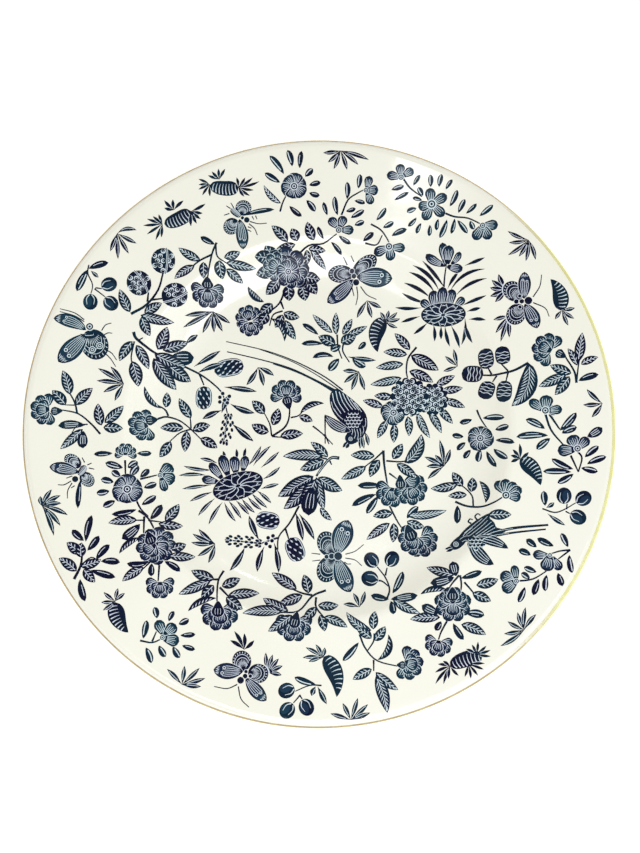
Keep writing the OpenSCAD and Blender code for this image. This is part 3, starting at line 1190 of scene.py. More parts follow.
        (solid, 3.0, (-110, -70, -100.5, -70.5), (-115, -74.5, -102.5, -78), (-120, -79, -117, -90)),
        (stem, 0.8, (-120, -72, -115, -68, -111, -70), (-119, -73, -116, -74)),
    ],
    # Left of the rim
    "bamboo_rim_8": [(tuft, 2.2, (-140.5, -42), (-141.5, -37), (-136, -33.5), (-131.5, -36.5),
                      (-131, -40.5), (-127.5, -46.5), (-131, -52), (-134, -57))],
    "bee_rim_4": [
        (fan, 6.6, (-122.4, -21.4, -129.6, -16.2), (-121.2, -25.2, -115.8, -31)),
        (wing, 6.4, (-122.8, -24.6, -137.6, -21.8)),
        (solid, 2.4, (-121.8, -28.4, -122.6, -43)),
        (grub, 3.6, (-122.8, -26, -119.4, -21, 0)),
        (dot, 1.6, (-124.5, -28)),
        (hair, 0.6, (-126.5, -29, -130, -31, -133, -31), (-126, -30, -128, -34, -128, -38),
         (-120, -19.4, -121.4, -16.8), (-118.6, -20.6, -116.4, -19.6), (-117.8, -22.2, -115, -22.8),
         (-126, -26.4, -129, -27.6), (-124.6, -31.4, -126.4, -32.6)),
    ],
    "peony_spray_rim_2": [
        (stem, 1.1, (-112.5, -4.5, -117, 0.5, -124, 6, -133, 8), (-124.5, 6, -126, 12, -130, 19)),
        (dome, 8.5, (-140, 8, 185)),
        (calyx, 4.6, (-132, 7.5, -138, 7, 0)),
        (veined, 5.4, (-125.5, 10.5, -117, 19.5), (-128.5, 16, -132.5, 28.5),
         (-130.5, 10.5, -137.5, 18)),
        (veined, 5.0, (-112, 0, -114, 11.5), (-110.5, 1.5, -101, 10.5), (-111, -1, -101, -1.5)),
        (solid, 3.8, (-120.5, 0, -134, -0.5)),
        (veined, 4.6, (-121.5, -2, -132.5, -12.5)),
        (solid, 4.4, (-121, -3, -121, -12)),
        (stem, 0.7, (-119, 0.5, -124, 0, -127, -4), (-126, 10.5, -131, 10.5)),
    ],
    "moth_rim": [
        (fan, 13.6, (-119.5, 49.5, -113.4, 35.6)),
        (wing, 6.8, (-121, 50, -137.6, 55.8, -0.1)),
        (wing, 9.8, (-120.8, 48, -134.8, 33)),
        (eye, 1.4, (-117.6, 39.8), (-113.8, 42)),
        (solid, 2.2, (-124, 48, -114.5, 48.6, -0.16)),
        (eye, 1.8, (-119.2, 52)),
        (hair, 0.6, (-122, 55.5, -127, 59, -134.5, 61), (-122, 54.5, -127, 57.5, -134.5, 59.5),
         (-113, 50, -111, 53, -108, 54), (-111.6, 47.8, -109.6, 48.8, -107.5, 48.6),
         (-110, 39.5, -107.5, 38, -105, 34.5), (-110.6, 37.6, -108, 35, -105.4, 31)),
    ],
    "bamboo_rim_9": [(tuft, 2.2, (-101, 22), (-114.5, 30), (-108, 31), (-115, 23.5), (-111.5, 17.5),
                      (-105.5, 13))],
    "cherries_rim_3": [
        (stem, 0.8, (-120, 84.5, -120.5, 80, -118, 74, -119, 68.5), (-117, 72, -111, 67.5),
         (-116.5, 72.5, -112, 72)),
        (cherry, 4.0, (-119, 65, 90), (-108.5, 64.5, 135), (-109.5, 74.5, 200)),
        (solid, 3.0, (-120, 82.5, -110, 86)),
        (cored, 3.4, (-120.5, 82, -126, 70.5)),
        (blade, 1.8, (-119, 81.5, -115, 78)),
    ],
    "walnut_branch": [
        (stem, 1.5, (-98, 59, -90, 64, -84, 72, -81.5, 81)),
        (stem, 1.2, (-89.5, 65.5, -89, 71), (-88, 66.5, -81, 67.5)),
        (walnut, 6.8, (-81.5, 87.5, 88), (-94, 75.5, 122), (-75.5, 69.5, 25)),
        (veined, 5.0, (-98.5, 60, -104, 72), (-91, 59.5, -82, 65), (-93, 58.5, -76, 55.5),
         (-92.5, 57.5, -88, 47.5)),
    ],
    "peony_spray_top": [
        (stem, 1.2, (-53.5, 97.5, -56, 91, -58.5, 78), (-56, 91, -62, 88, -67, 84)),
        (stem, 1.0, (-54, 96, -53, 90, -48, 86.5)),
        (dome, 8.8, (-58.5, 72.5, -90)),
        (calyx, 6.0, (-58.5, 79.5, -58.5, 73.5, 0)),
        (solid, 2.6, (-54.5, 96.5, -62, 100.5)),
        (veined, 4.4, (-62, 88, -73.5, 94.5), (-65, 85, -75.5, 78), (-60.5, 87, -60.5, 78.5),
         (-49.5, 89.5, -41, 92.5), (-48.5, 87, -33, 85), (-48.5, 84, -40, 77.5)),
        (veined, 5.6, (-52, 88, -50.5, 79)),
    ],
    # Round the well
    "bamboo_well_1": [(tuft, 2.2, (-56, 62.5), (-70.5, 59.5), (-71.5, 53.5), (-61.5, 51),
                       (-55.5, 51.5), (-51, 52), (-47, 56.5))],
    "peony_large": [
        (veined, 6.0, (-25, 90, -33.5, 90.5), (-24, 84, -33, 82), (-22, 90, -28, 96)),
        (veined, 6.0, (-21, 80, -28, 72), (-16, 77, -15.5, 68.5), (-9, 77, -7, 68.5),
         (-7, 80, -1, 72), (-8, 82, 1, 80)),
        (dome, 12.5, (-17, 84, 70)),
        (dome, 9.0, (-14.5, 84, 250)),
        (dome, 7.5, (-22, 86, 150)),
        (flower, 6.4, (-16, 84, 6, 0)),
    ],
    "rose_branch": [
        (stem, 1.2, (-18, 74, -21, 67, -28, 61), (-20, 68, -18.5, 64)),
        (stem, 1.0, (-19, 63, -24, 61, -26, 55)),
        (dome, 7.5, (-37, 59, 110)),
        (dome, 7.0, (-36, 56, 280)),
        (crescent, 3.6, (-29, 68, -37.5, 76, 0.12)),
        (veined, 5.6, (-24.5, 67, -31.5, 61), (-27, 62, -31.5, 55.5)),
        (veined, 4.6, (-18.5, 62, -10, 59.5), (-19, 61, -23, 54), (-17.5, 58, -12, 47.5)),
        (crescent, 3.4, (-25.5, 59, -18, 46.5, 0.2)),
    ],
    "bamboo_well_2": [(tuft, 2.2, (26, 68.5), (20.5, 59), (28.5, 59), (33.5, 64.5))],
    "butterfly_1": [
        (fan, 8.0, (19.2, 83, 30.4, 90)),
        (wing, 9.8, (20.4, 81, 39.4, 79.4)),
        (fan, 8.8, (18.2, 82.6, 5.8, 82.6)),
        (wing, 8.0, (18.8, 79.8, 4.8, 67.4)),
        (dot, 1.3, (19, 81.4), (18, 84)),
        (dot, 1.7, (20.2, 78.2)),
        (hair, 0.6, (15.5, 87, 13.5, 91), (19, 88.5, 17.5, 91.5), (20.5, 76, 21, 71, 20, 66),
         (22.5, 76, 26, 71.5, 31, 69), (18, 75.5, 19, 71)),
    ],
    "lotus_1": [
        (blade, 1.6, (67, 72, 55, 87), (64, 71, 50, 85, -0.1), (62, 70, 48, 82, -0.1),
         (60, 68, 45.5, 77, -0.06), (58, 66, 44.5, 72), (55, 64, 41, 64.5), (54, 59.5, 44, 56.5),
         (58, 56, 50.5, 50), (61, 55, 61.5, 46), (65, 54, 65, 47), (67, 54, 69.5, 43),
         (70, 54, 74.5, 42), (77, 57, 75.5, 43.5, 0.08), (77, 55, 81, 44), (79, 56, 87.5, 55),
         (78, 60, 85, 61.5), (75, 63, 88, 68), (72, 68, 88.5, 77, 0.1), (69, 70, 87.5, 82, 0.15),
         (68, 72, 74, 81, 0.04), (77, 84, 87.5, 88)),
        (stem, 1.0, (66, 71, 66.5, 78, 67.5, 85)),
        (petal, 5.0, (67.5, 84.5, 57, 90.5, 0.1), (67, 85, 65.5, 96.5, 0), (68, 84, 76, 83, -0.1)),
        (petal, 3.6, (70, 85, 74.5, 91.5, -0.1)),
        (petal, 6.0, (68, 85, 69, 95, 0)),
        (petal, 4.4, (60, 63, 54.4, 67.6, 0), (72, 63, 76.6, 67, 0)),
        (petal, 5.4, (61.6, 63, 60.6, 72.2, 0), (69, 63, 70.4, 71.8, 0), (65.3, 63, 65.5, 73.4, 0)),
        (pad, 11.5, (66, 59.5, -4)),
    ],
    "bamboo_well_3": [(tuft, 1.9, (73.5, 32.5), (67, 38), (71.5, 41.5), (66, 30))],
    "cone_branch": [
        (stem, 1.4, (109, 32, 101, 28, 92, 26.5, 86, 27)),
        (stem, 1.0, (98.5, 28, 95, 32), (90.5, 27, 88.5, 31), (93, 26, 91, 23), (98.5, 27, 97.5, 23)),
        (cone, 7.6, (88.5, 30, 87, 40.5, 0), (96.5, 31.5, 95.5, 41, 0), (97.5, 23, 96.5, 12, -0.04)),
        (cone, 8.6, (86.5, 27.5, 75.5, 28.5, 0)),
        (cone, 8.0, (89.5, 23.5, 86.5, 14.5, 0)),
        (veined, 8.5, (109, 32, 100, 9.5, 0.16)),
    ],
    "daisy_well": [
        (stem, 1.0, (83, 9, 85, 4, 88, -1)),
        (flower, 7.0, (84.5, -6, 7, 85)),
        (cored, 2.8, (86, 4.5, 96.5, 4), (92, -2, 98.5, -0.5), (91, -12, 97.5, -17.5),
         (84.5, -12, 83, -18.5)),
        (solid, 2.4, (80.5, 4, 74, 2.5), (92, -7.5, 101, -9.5), (77, -8, 72.5, -12), (76, -5, 70, -4),
         (87.5, -13, 92, -21.5), (79.5, -12, 76, -16.5)),
    ],
    "leaf_fan_right": [(tuft, 2.2, (65.5, -20.5), (63.5, -6.5), (69, -11.5), (61, -14.5),
                        (55.5, -15.5), (56.5, -20.5), (57, -27))],
    "plum_branch_7": [
        (stem, 1.2, (71, -39, 77, -41.5, 84, -42, 90, -40, 95, -37)),
        (stem, 0.9, (80, -41.5, 79.5, -36, 75, -31, 71, -30)),
        (petal, 5.4, (96, -36, 91.5, -29, 0), (96, -36, 96, -28, 0), (96.5, -36, 101, -30, 0),
         (97, -36.5, 104, -33, 0), (97, -37, 103.5, -37.5, 0)),
        (eye, 1.8, (96, -36.5)),
        (veined, 4.6, (72.5, -29.5, 58.5, -32, 0.06), (75, -31, 70, -23.5), (79, -34, 80, -26.5)),
        (veined, 3.6, (77, -35.5, 67.5, -36)),
        (crescent, 3.6, (86, -40, 83.5, -28.5, -0.16)),
        (solid, 3.0, (72, -41, 71.5, -50.5)),
    ],
    "swallow": [
        (stem, 1.7, (88, -56, 100, -53.2, 116.7, -51.8)),
        (stem, 1.3, (88, -57.5, 100, -55.5, 115.4, -54)),
        (blot, DARK, (72.5, -58, 73.4, -55.6, 77.3, -51.8, 82.6, -48, 88, -45.4, 87.6, -48, 89.8, -50.4,
                      91, -53, 96, -54.4, 90, -57.4, 84, -58.4, 78, -60.5)),
        (scratch, 0.26, (75, -55.6, 80, -51.4, 84, -48.2), (76, -56.4, 82, -51.6, 86.6, -47.2),
         (77.4, -57, 83, -52.6, 86.6, -49.2), (79, -57.4, 84.4, -53.4, 88.4, -50),
         (80.6, -57.6, 85.6, -54.2, 89.2, -51.6), (82.4, -57.6, 86.6, -55, 90.2, -53),
         (84.4, -57.6, 88.4, -55.6, 93, -54.2), (74, -57.2, 76.5, -54.6, 79, -52.8)),
        (blot, DARK, (76.5, -60, 76.8, -64, 78.6, -67, 81.4, -66.4, 84, -62.6, 88, -58.4, 82, -57.4)),
        (plume, 5.2, (79.6, -58.4, 96.4, -63.6, 0.08)),
        (plume, 6.6, (77.6, -58.6, 89.0, -71.6, -0.12)),
        (scratch, 0.24, (86, -56.4, 92, -54.6, 99, -53.6), (84, -58.6, 90, -56.8, 97, -55.9)),
        (scales, 3.4, (80.4, -60.6)),
        (blot, DARK, (67.2, -63.4, 68, -61, 70.4, -58.4, 73.4, -56.6, 76, -58.8, 73.8, -62, 70.6, -64)),
        (blade, 1.2, (69.4, -62, 65, -63.6), (70, -63, 65.6, -64.9)),
        (eye, 1.05, (70.6, -61.2)),
        (scratch, 0.26, (72.6, -58.8, 75, -57.2, 77.4, -57), (73.6, -60, 75.6, -59.2, 77, -60.6)),
        (veined, 5.0, (87, -46.5, 98.5, -46.5)),
        (stem, 0.9, (81.6, -49, 80.6, -47, 82, -45.6, 83.2, -46.6), (78.6, -50.6, 77.2, -49.6,
         78.2, -48.2, 79.4, -48.8)),
    ],
    "peony_plant_right": [
        (stem, 1.1, (72, -77, 72.5, -82, 71.5, -88), (71.5, -77, 68, -81, 66, -84),
         (74, -80.5, 77, -84, 80, -88), (66, -98, 62, -105, 60.5, -109)),
        (dome, 9.5, (68, -91, -90)),
        (dome, 7.5, (68, -90, 90)),
        (calyx, 6.0, (68, -83, 68, -90, 0)),
        (dome, 7.2, (60.5, -110.5, -100)),
        (veined, 4.8, (69, -77, 55.5, -73), (80, -82, 91, -79), (78, -86, 87, -90),
         (61.5, -98, 46.5, -99), (72, -101.5, 84, -106.5)),
        (solid, 4.2, (70, -77.5, 68.5, -70), (69, -78, 57, -81), (61, -96, 52.5, -92)),
        (solid, 2.8, (72.5, -78.5, 83, -75), (68, -101, 73, -109), (62, -100, 59, -104.5)),
        (crescent, 3.2, (66, -85, 52, -86.5, -0.14)),
        (cored, 3.6, (74.5, -96, 83.5, -97)),
    ],
    "cherries_well": [
        (stem, 1.0, (35, -89, 36.5, -84, 34.5, -78, 30, -72), (30.5, -79.5, 33, -80, 36, -82.5),
         (34.5, -77, 35.5, -73)),
        (cherry, 4.0, (27.5, -69, -50), (38, -68.5, -120)),
        (cherry, 4.2, (26.5, -78.5, -12)),
        (cored, 3.2, (38, -86, 43.5, -75)),
        (solid, 3.0, (36, -89, 27, -87), (37, -90, 38, -96.5)),
        (solid, 3.6, (37, -89, 50.5, -87)),
        (veined, 4.4, (38, -89, 51.5, -96)),
    ],
    "bamboo_well_4": [(tuft, 2.0, (21, -93), (18, -86), (24, -85), (13, -91.5))],
    "peony_branch_2": [
        (stem, 1.2, (4, -84.5, -3, -87.5, -10, -95, -20, -95.5), (-3, -87, -8, -86, -13, -84),
         (-1, -88, -1, -93, 3, -98)),
        (dome, 9.5, (-12, -101, -90)),
        (calyx, 6.0, (-10.5, -95.5, -12.5, -103.5, 0)),
        (veined, 5.2, (-11, -84, -24, -75.5), (-5, -86, -7.5, -76.5), (-8, -87, -20, -91.5),
         (-15, -95, -28, -88.5), (-18, -95.5, -38, -96), (-13, -97, -25, -105)),
        (veined, 4.4, (0, -92, 10.5, -92), (-1, -93, -7.5, -99), (1, -97, 3.5, -105),
         (3, -98, 15, -103)),
    ],
    "bell_branch": [
        (stem, 1.2, (-48.5, -74.5, -51, -80, -51, -91), (-51, -79, -56, -79), (-50, -83, -45, -88)),
        (dome, 10.0, (-49.5, -95, -85)),
        (calyx, 6.5, (-50.5, -90, -50.5, -98, 0)),
        (veined, 5.0, (-53, -79, -64.5, -74.5), (-54.5, -79.5, -70.5, -86.5), (-53, -82, -59, -88),
         (-49, -82.5, -40, -78.5), (-45.5, -87, -30, -86), (-46.5, -88, -38, -94)),
        (crescent, 3.4, (-51.5, -88.5, -65.5, -95, -0.12)),
    ],
    "leaf_fan_left": [(tuft, 2.2, (-53.5, -60.5), (-62, -53), (-65, -55.5), (-65.5, -60),
                       (-62, -67), (-56.5, -70.5))],
    "peony_plant_left": [
        (stem, 1.2, (-92, -44, -87, -48, -82, -57), (-89, -47, -89, -57), (-80.5, -69, -81, -80)),
        (stem, 0.9, (-87, -49, -78, -50), (-89, -49, -94, -49)),
        (dome, 10.0, (-82.5, -62, -20)),
        (dome, 9.0, (-84, -62, 210)),
        (calyx, 6.0, (-87, -55, -84.5, -61.5, 0)),
        (dome, 7.5, (-80, -81.5, -90)),
        (veined, 4.6, (-92.5, -49, -107, -50.5), (-82, -50.5, -70, -51.5), (-76, -67, -63, -67.5),
         (-88.5, -73, -99, -80), (-75, -63.5, -68, -61)),
        (solid, 4.4, (-91, -51, -100, -58.5)),
        (solid, 2.8, (-86, -70, -97, -71, 0.1), (-84.5, -71, -84.5, -77.5), (-78, -70, -70, -75)),
        (crescent, 3.2, (-90.5, -58, -101, -66, -0.12)),
        (stem, 0.9, (-85, -70, -89, -74), (-80, -67, -76, -67.5)),
    ],
    "rosette_plant": [
        (stem, 1.1, (-99.5, -18, -99, -27), (-94, -37, -91, -43, -87, -47), (-92, -27.5, -84, -25)),
        (dome, 5.6, (-99.5, -14.5, 90)),
        (solid, 2.4, (-106, -14.5, -115.5, -15), (-94, -14, -87, -13.5)),
        (cored, 3.2, (-100.5, -22, -109.5, -19.5), (-98, -22, -93.5, -18.5), (-96.5, -26.5, -93, -20.5)),
        (cored, 2.9, (-101.5, -26.5, -106, -23.5), (-105, -29.5, -111.5, -28), (-107, -34, -113.5, -35),
         (-104, -39, -110, -42), (-90, -32, -84, -29.5), (-90.5, -41, -84, -36)),
        (solid, 2.6, (-92, -26.5, -88, -22), (-93, -43.5, -105.5, -46)),
        (flower, 8.0, (-98, -33, 6, 30)),
        (petal, 7.0, (-82.5, -25, -76.5, -19.5, 0), (-82, -25, -75, -28, 0)),
        (petal, 4.4, (-82, -26, -79.5, -33.5, 0)),
        (eye, 1.2, (-82.5, -25)),
        (veined, 5.0, (-79, -49, -72.5, -40)),
        (solid, 3.2, (-86, -48.5, -81, -40.5)),
    ],
    "peony_sprig_left": [
        (stem, 1.1, (-85, 4.5, -80, 6, -73, 4, -67, -0.5), (-79, 6.5, -81, 10, -87, 13)),
        (stem, 0.9, (-67, 0, -67.5, 6), (-67, -0.5, -61.5, -6), (-67, -0.5, -73, -2.5, -78, -7)),
        (dome, 8.5, (-90.5, 1, 190)),
        (calyx, 5.6, (-84.5, 4.5, -90.5, 3.5, 0)),
        (crescent, 3.0, (-82.5, 10.5, -91, 21.5, 0.16)),
        (veined, 4.8, (-67, 5.5, -73.5, 16), (-71, 0, -83, 0), (-77.5, -7, -83, -15.5),
         (-69, -1.5, -70, -12.5), (-66, -1, -57, 1.5), (-62, -5.5, -53, -10.5)),
        (veined, 4.0, (-80.5, 11, -80, 19)),
    ],
    "magnolia_spray_left": [
        (stem, 1.7, (-96.5, 49.5, -95, 46, -88, 40.5, -83, 38)),
        (stem, 0.9, (-94, 45, -91.5, 46.5), (-96, 44.5, -97.5, 36, -96, 30)),
        (veined, 5.0, (-97, 44.5, -103.5, 34), (-95, 42.5, -89, 30.5)),
        (veined, 6.0, (-97, 34, -94, 21)),
        (veined, 5.6, (-84.5, 41, -79.5, 53), (-82, 41, -69, 46)),
        (blade, 2.6, (-70.5, 45, -64, 50)),
        (solid, 6.4, (-78, 38, -66, 38)),
        (veined, 7.0, (-86, 38.5, -70, 32.5), (-86.5, 36.5, -75, 20.5)),
        (veined, 6.6, (-79, 33, -67.5, 25)),
        (stem, 1.1, (-71, 33, -63, 29, -56, 24, -50.5, 18, -48, 8), (-63, 29, -60.5, 23)),
        (husk, 8.6, (-60.5, 22.5, -60.5, 10, 0)),
        (husk, 9.6, (-55, 30, -39.5, 33, 0.06)),
        (blade, 2.6, (-66, 33, -52, 41.5), (-64, 29.5, -50.5, 34.5), (-50, 22, -32.5, 19.5)),
        (blade, 2.8, (-51, 9.5, -61, 5), (-46.5, 13, -33.5, 8), (-45.5, 2.5, -34, -7),
         (-51, 8, -47, 18)),
        (dot, 1.0, (-52, 16.5), (-49.5, 15), (-47, 17), (-50.5, 18.5), (-48, 13.5), (-52, 14)),
        (catkin, 7.0, (-47.5, 8, -50, -9, 0.04)),
    ],
    # In the well
    "bamboo_well_5": [(tuft, 2.4, (-32, 32.5), (-38, 23), (-29, 22.5), (-23.5, 28))],
    "bamboo_well_6": [(tuft, 2.2, (21.5, 30), (13, 30.5), (13.5, 24), (17.5, 20), (24.5, 20))],
    "leafy_bunch": [
        (veined, 3.6, (7.5, 51, -3, 61), (13, 50, 18, 58.5), (9.5, 50, 9.5, 62), (15, 49, 26, 54.5)),
        (veined, 5.6, (9, 44.5, 0, 49), (12, 45.5, 20, 49)),
        (solid, 2.4, (0, 50, -8.5, 56), (2.5, 45, -9, 45), (8, 38, -3, 37.5, -0.14),
         (21, 42, 25, 46)),
        (cored, 3.6, (11, 37, 5.5, 30.5), (18, 37.5, 25, 32.5), (12, 44, 6.5, 41.5)),
        (stem, 1.0, (10, 50, 10.5, 43, 12.5, 37), (13.5, 46, 13, 41, 16.5, 35)),
        (blade, 2.4, (15.5, 38, 30.5, 36)),
    ],
    "pod_well": [
        (pod, 9.5, (35.5, 58.5, 31.5, 40.5, -0.16)),
        (tuft, 1.8, (35.5, 57), (33, 62), (37.5, 63), (42, 62), (43.5, 58.5), (42, 53.5)),
    ],
    "hydrangea": [
        (stem, 1.1, (52, 43, 47.5, 37, 46.5, 30, 47.5, 25)),
        (veined, 4.4, (48.5, 41.5, 40.5, 50.5), (47, 39, 34.5, 40.5), (45, 34, 30.5, 32),
         (44, 26.5, 27.5, 23)),
        (veined, 6.4, (49, 38.5, 63.5, 30.5)),
        (veined, 5.0, (48, 30, 60.5, 24)),
        (veined, 4.0, (39, 16.5, 29.5, 17), (34, 11, 23.5, 14.5), (36, 4, 31, -5.5),
         (40, 2, 39.5, -8), (47, 6, 47.5, -4.5), (52, 8, 58.5, -5.5), (58, 9, 64.5, -3),
         (63, 11, 70.5, 2), (66, 14.5, 77, 10.5), (65, 19.5, 76, 21), (62, 22.5, 72, 27.5)),
        (dot, 1.2, (64.5, 17), (65.5, 14), (52, 7.5), (49, 7)),
        (hydrangea, 8.0, (60, 15)),
        (flower, 7.0, (39.5, 8, 7, 10)),
        (hydrangea, 9.6, (48, 16.5)),
    ],
    "long_tailed_bird": [
        (stem, 0.9, (10, 19.5, -2, 25.8, -15, 32, -30, 36.5, -48.5, 41)),
        (stem, 1.4, (10, 18.2, 0, 24.5, -12, 30.3, -24, 34.5)),
        (stem, 0.8, (13, 20, 3, 27.5, -12, 35.5, -28, 41.5, -49, 46.5)),
        (stem, 0.6, (12, 19.5, -2, 29, -16, 36.5, -32, 42.5)),
        (blot, DARK, (6.5, 18.5, 9.6, 20.8, 15, 17.5, 21, 12.3, 25, 7.2, 25.8, 1, 24, -4, 22, -6.4,
                      19.6, -8, 16.8, -8.8, 14.6, -7.3, 14, -4.9, 15.2, -2, 13, 1.5, 9.6, 5.5, 7.3, 9.2,
                      6, 14.4)),
        (scratch, 0.42, (7.4, 18.5, 8.6, 13, 12, 7.5), (9.2, 19.6, 10.6, 13.8, 14, 8.2),
         (11, 19.2, 12.8, 14, 16, 9), (12.9, 18.4, 15, 13.7, 18, 9.7),
         (14.9, 17.2, 17.2, 13, 19.8, 9.7), (17, 15.4, 19.3, 12, 21.4, 9.3),
         (19.1, 13.4, 21.2, 10.8, 22.8, 8.4)),
        (scratch, 0.3, (6.8, 14, 7.8, 10.5, 10.5, 6.6), (8.2, 10.2, 10.6, 6.6, 13, 4.4),
         (17.6, -0.5, 18, -2, 17.6, -3.6), (18.8, -0.6, 19.5, -3.4, 18.8, -5.8),
         (20.3, -0.7, 21, -3.6, 20.4, -6.4), (21.9, -0.4, 22.3, -3.4, 21.8, -6),
         (23.4, 1, 23.8, -1.4, 23, -4.2), (24.8, 5, 24.9, 2.4, 24.4, 0.4)),
        (scales, 4.9, (18.4, 4.2)),
        (plume, 5.4, (3.4, 7, 17, -1.8, -0.1)),
        (stem, 0.9, (3.6, 6.5, 3.6, 0, 3.6, -8.4), (-2.9, 1, 2, -3, 7.6, -8.8), (3.4, -3.2, 5.6, -8.6)),
        (blade, 1.5, (15.4, -6.6, 12.8, -10.4), (16.4, -7.6, 14.4, -10.8)),
        (eye, 0.85, (16.9, -5.9)),
        (blade, 1.9, (21.8, -3.5, 21.8, -11), (23.2, -3, 24, -11), (24.3, -2, 26.2, -9.5)),
    ],
    "peony_sprig_well": [
        (stem, 1.2, (-24.5, -4.5, -18, 0, -15.5, 5, -15, 12)),
        (stem, 0.9, (-24.5, -4, -25.5, 2, -28.5, 8), (-14.5, 5.5, -10.5, 6.5, -8, 9)),
        (dome, 8.6, (-17, 17.5, 88)),
        (calyx, 5.6, (-15.2, 10, -17, 17, 0)),
        (veined, 5.0, (-28.5, 7.5, -35, 14.5), (-24, 1.5, -21, 10.5), (-26, -2, -35, 2),
         (-20, -4.5, -8, -3)),
        (crescent, 3.2, (-9.5, 7.5, 3, 13, 0.16)),
        (veined, 3.8, (-10, 6, -3, 3.5)),
        (stem, 0.9, (-24, -4.5, -19, -5)),
    ],
    "lotus_2": [
        (blade, 1.8, (-37, -20, -30, -9.5), (-34, -20, -25, -9.5), (-30, -21, -20.5, -12.5),
         (-29, -27, -20, -20.5), (-30, -32, -20.5, -29.5), (-32, -33, -24.5, -39.5),
         (-35, -34, -26.5, -42), (-37, -36, -29.5, -43), (-40, -37, -33, -44.5),
         (-43, -38, -36, -45.5), (-47, -38, -40, -47.5), (-49, -39, -43, -49), (-50, -39, -57, -50.5),
         (-54, -37, -62.5, -46), (-55, -33.5, -67, -38.5), (-56, -30, -71, -32),
         (-58, -25, -73, -25), (-55, -22, -70.5, -20), (-53, -18.5, -62, -16)),
        (blade, 1.4, (-43, -17, -43, -11), (-39, -17, -38, -10.5), (-49, -17, -50, -12)),
        (petal, 4.8, (-52, -28.5, -61, -26.6, 0), (-50, -27, -57, -18.4, 0),
         (-39.5, -23, -38, -14.6, 0)),
        (petal, 5.8, (-43, -24.5, -44.4, -14.8, 0), (-47, -25.5, -51, -14.2, 0)),
        (pad, 13.5, (-42, -30.5, 17)),
    ],
    "magnolia_spray_right": [
        (stem, 1.8, (11, -16, 6.5, -16, 2, -21, -1, -25.5)),
        (stem, 1.0, (6, -17.5, 7, -19.5), (4.5, -16.5, -3, -14.5)),
        (veined, 4.2, (5, -15.5, -4, -7.5)),
        (veined, 5.6, (2.5, -15, -18.5, -15), (3, -17, -9.5, -22)),
        (veined, 6.2, (0, -26, 12.5, -33)),
        (veined, 5.2, (-1, -26, 3, -43)),
        (veined, 7.6, (-2.5, -25.5, -21, -36)),
        (veined, 7.0, (-4, -28.5, -18, -42.5), (-1.5, -27, -9, -40)),
        (solid, 7.0, (-2.5, -31, -5, -46)),
        (veined, 3.2, (1, -42, 7, -48.5)),
        (stem, 1.1, (-10, -41, -15, -50, -20.5, -57, -21, -65), (-21, -57.5, -30, -60.5),
         (-17, -53, -15, -59)),
        (husk, 9.0, (-20, -49.5, -32.5, -47.5, 0)),
        (husk, 9.4, (-14.5, -57.5, -9.5, -69.5, 0)),
        (blade, 2.8, (-12, -44, -8, -59), (-10, -45, -2, -58.5), (-23, -60, -20.5, -75.5),
         (-28, -62, -31.5, -75), (-38, -62, -45.5, -74.5), (-30.5, -59, -36, -46)),
        (dot, 1.0, (-26, -57.5), (-24, -59), (-27, -60.5), (-25, -62), (-23.5, -56.5)),
        (catkin, 6.6, (-29, -60.5, -48.5, -58.5, 0)),
    ],
    "butterfly_2": [
        (fan, 10.4, (7.4, -66.4, 2.4, -55)),
        (wing, 10.6, (9.6, -66.2, 15.6, -48.4)),
        (fan, 10.8, (7.4, -67.8, 2.4, -79.6)),
        (wing, 9.4, (9.8, -68, 16.6, -85.4)),
        (dot, 1.1, (4.3, -67.3)),
        (dot, 1.4, (6.9, -67)),
        (dot, 2.1, (10.3, -67)),
        (hair, 0.55, (14, -66, 19, -64.5, 23.5, -61), (14, -68, 19, -69, 22.5, -72),
         (1, -66, -3.5, -65.5), (1, -69, -3, -69.5), (13.5, -70, 15, -71, 17, -71)),
    ],
    "peony_plant_well": [
        (stem, 1.4, (34, -12, 34.5, -20, 36, -30)),
        (stem, 1.0, (33.5, -13, 29, -17, 23, -21.5), (35.5, -17.5, 43, -18, 48, -17),
         (37, -24, 41, -27), (37, -41, 41, -49, 45, -55)),
        (dome, 9.0, (38.5, -33, -100)),
        (dome, 9.0, (48, -32, -60)),
        (petal, 8.0, (45, -31, 53, -29, 0.2)),
        (calyx, 5.4, (42.5, -25, 43, -32.5, 0)),
        (veined, 4.8, (29.5, -15, 17, -14.5), (25, -20.5, 12, -27), (32, -17, 27, -26),
         (39, -16.5, 44, -8.5), (41, -19, 51.5, -26.5)),
        (veined, 6.4, (45, -18.5, 54, -3.5, -0.14)),
        (solid, 3.0, (33, -30.5, 20.5, -30.5), (30, -35, 17.5, -41)),
        (cored, 3.0, (31, -36, 25, -45), (46, -47.5, 52, -41.5)),
        (veined, 4.4, (38.5, -45, 28.5, -46.5), (37, -50, 25, -58.5), (39, -50, 38.5, -60),
         (46, -46, 66.5, -43.5), (46, -49, 55, -52)),
        (dome, 9.0, (53, -59, -50)),
        (dome, 9.0, (50, -58, -120)),
        (calyx, 7.0, (46, -51, 49, -59.5, 0)),
    ],
}


# ---------------------------------------------------------------- the studio
# Metres. The camera looks at its aim from a tilt off the vertical, turned round the plate.
RIM_H = cad_box[1].z
CAMERA_TILT = math.radians(8.27)
CAMERA_TURN = math.radians(8.87)
CAMERA_REACH = 0.6086
CAMERA_AIM = Vector((0.0012, -0.0012, RIM_H - 0.0024))
LENS_MM = 50
SENSOR_MM = 36

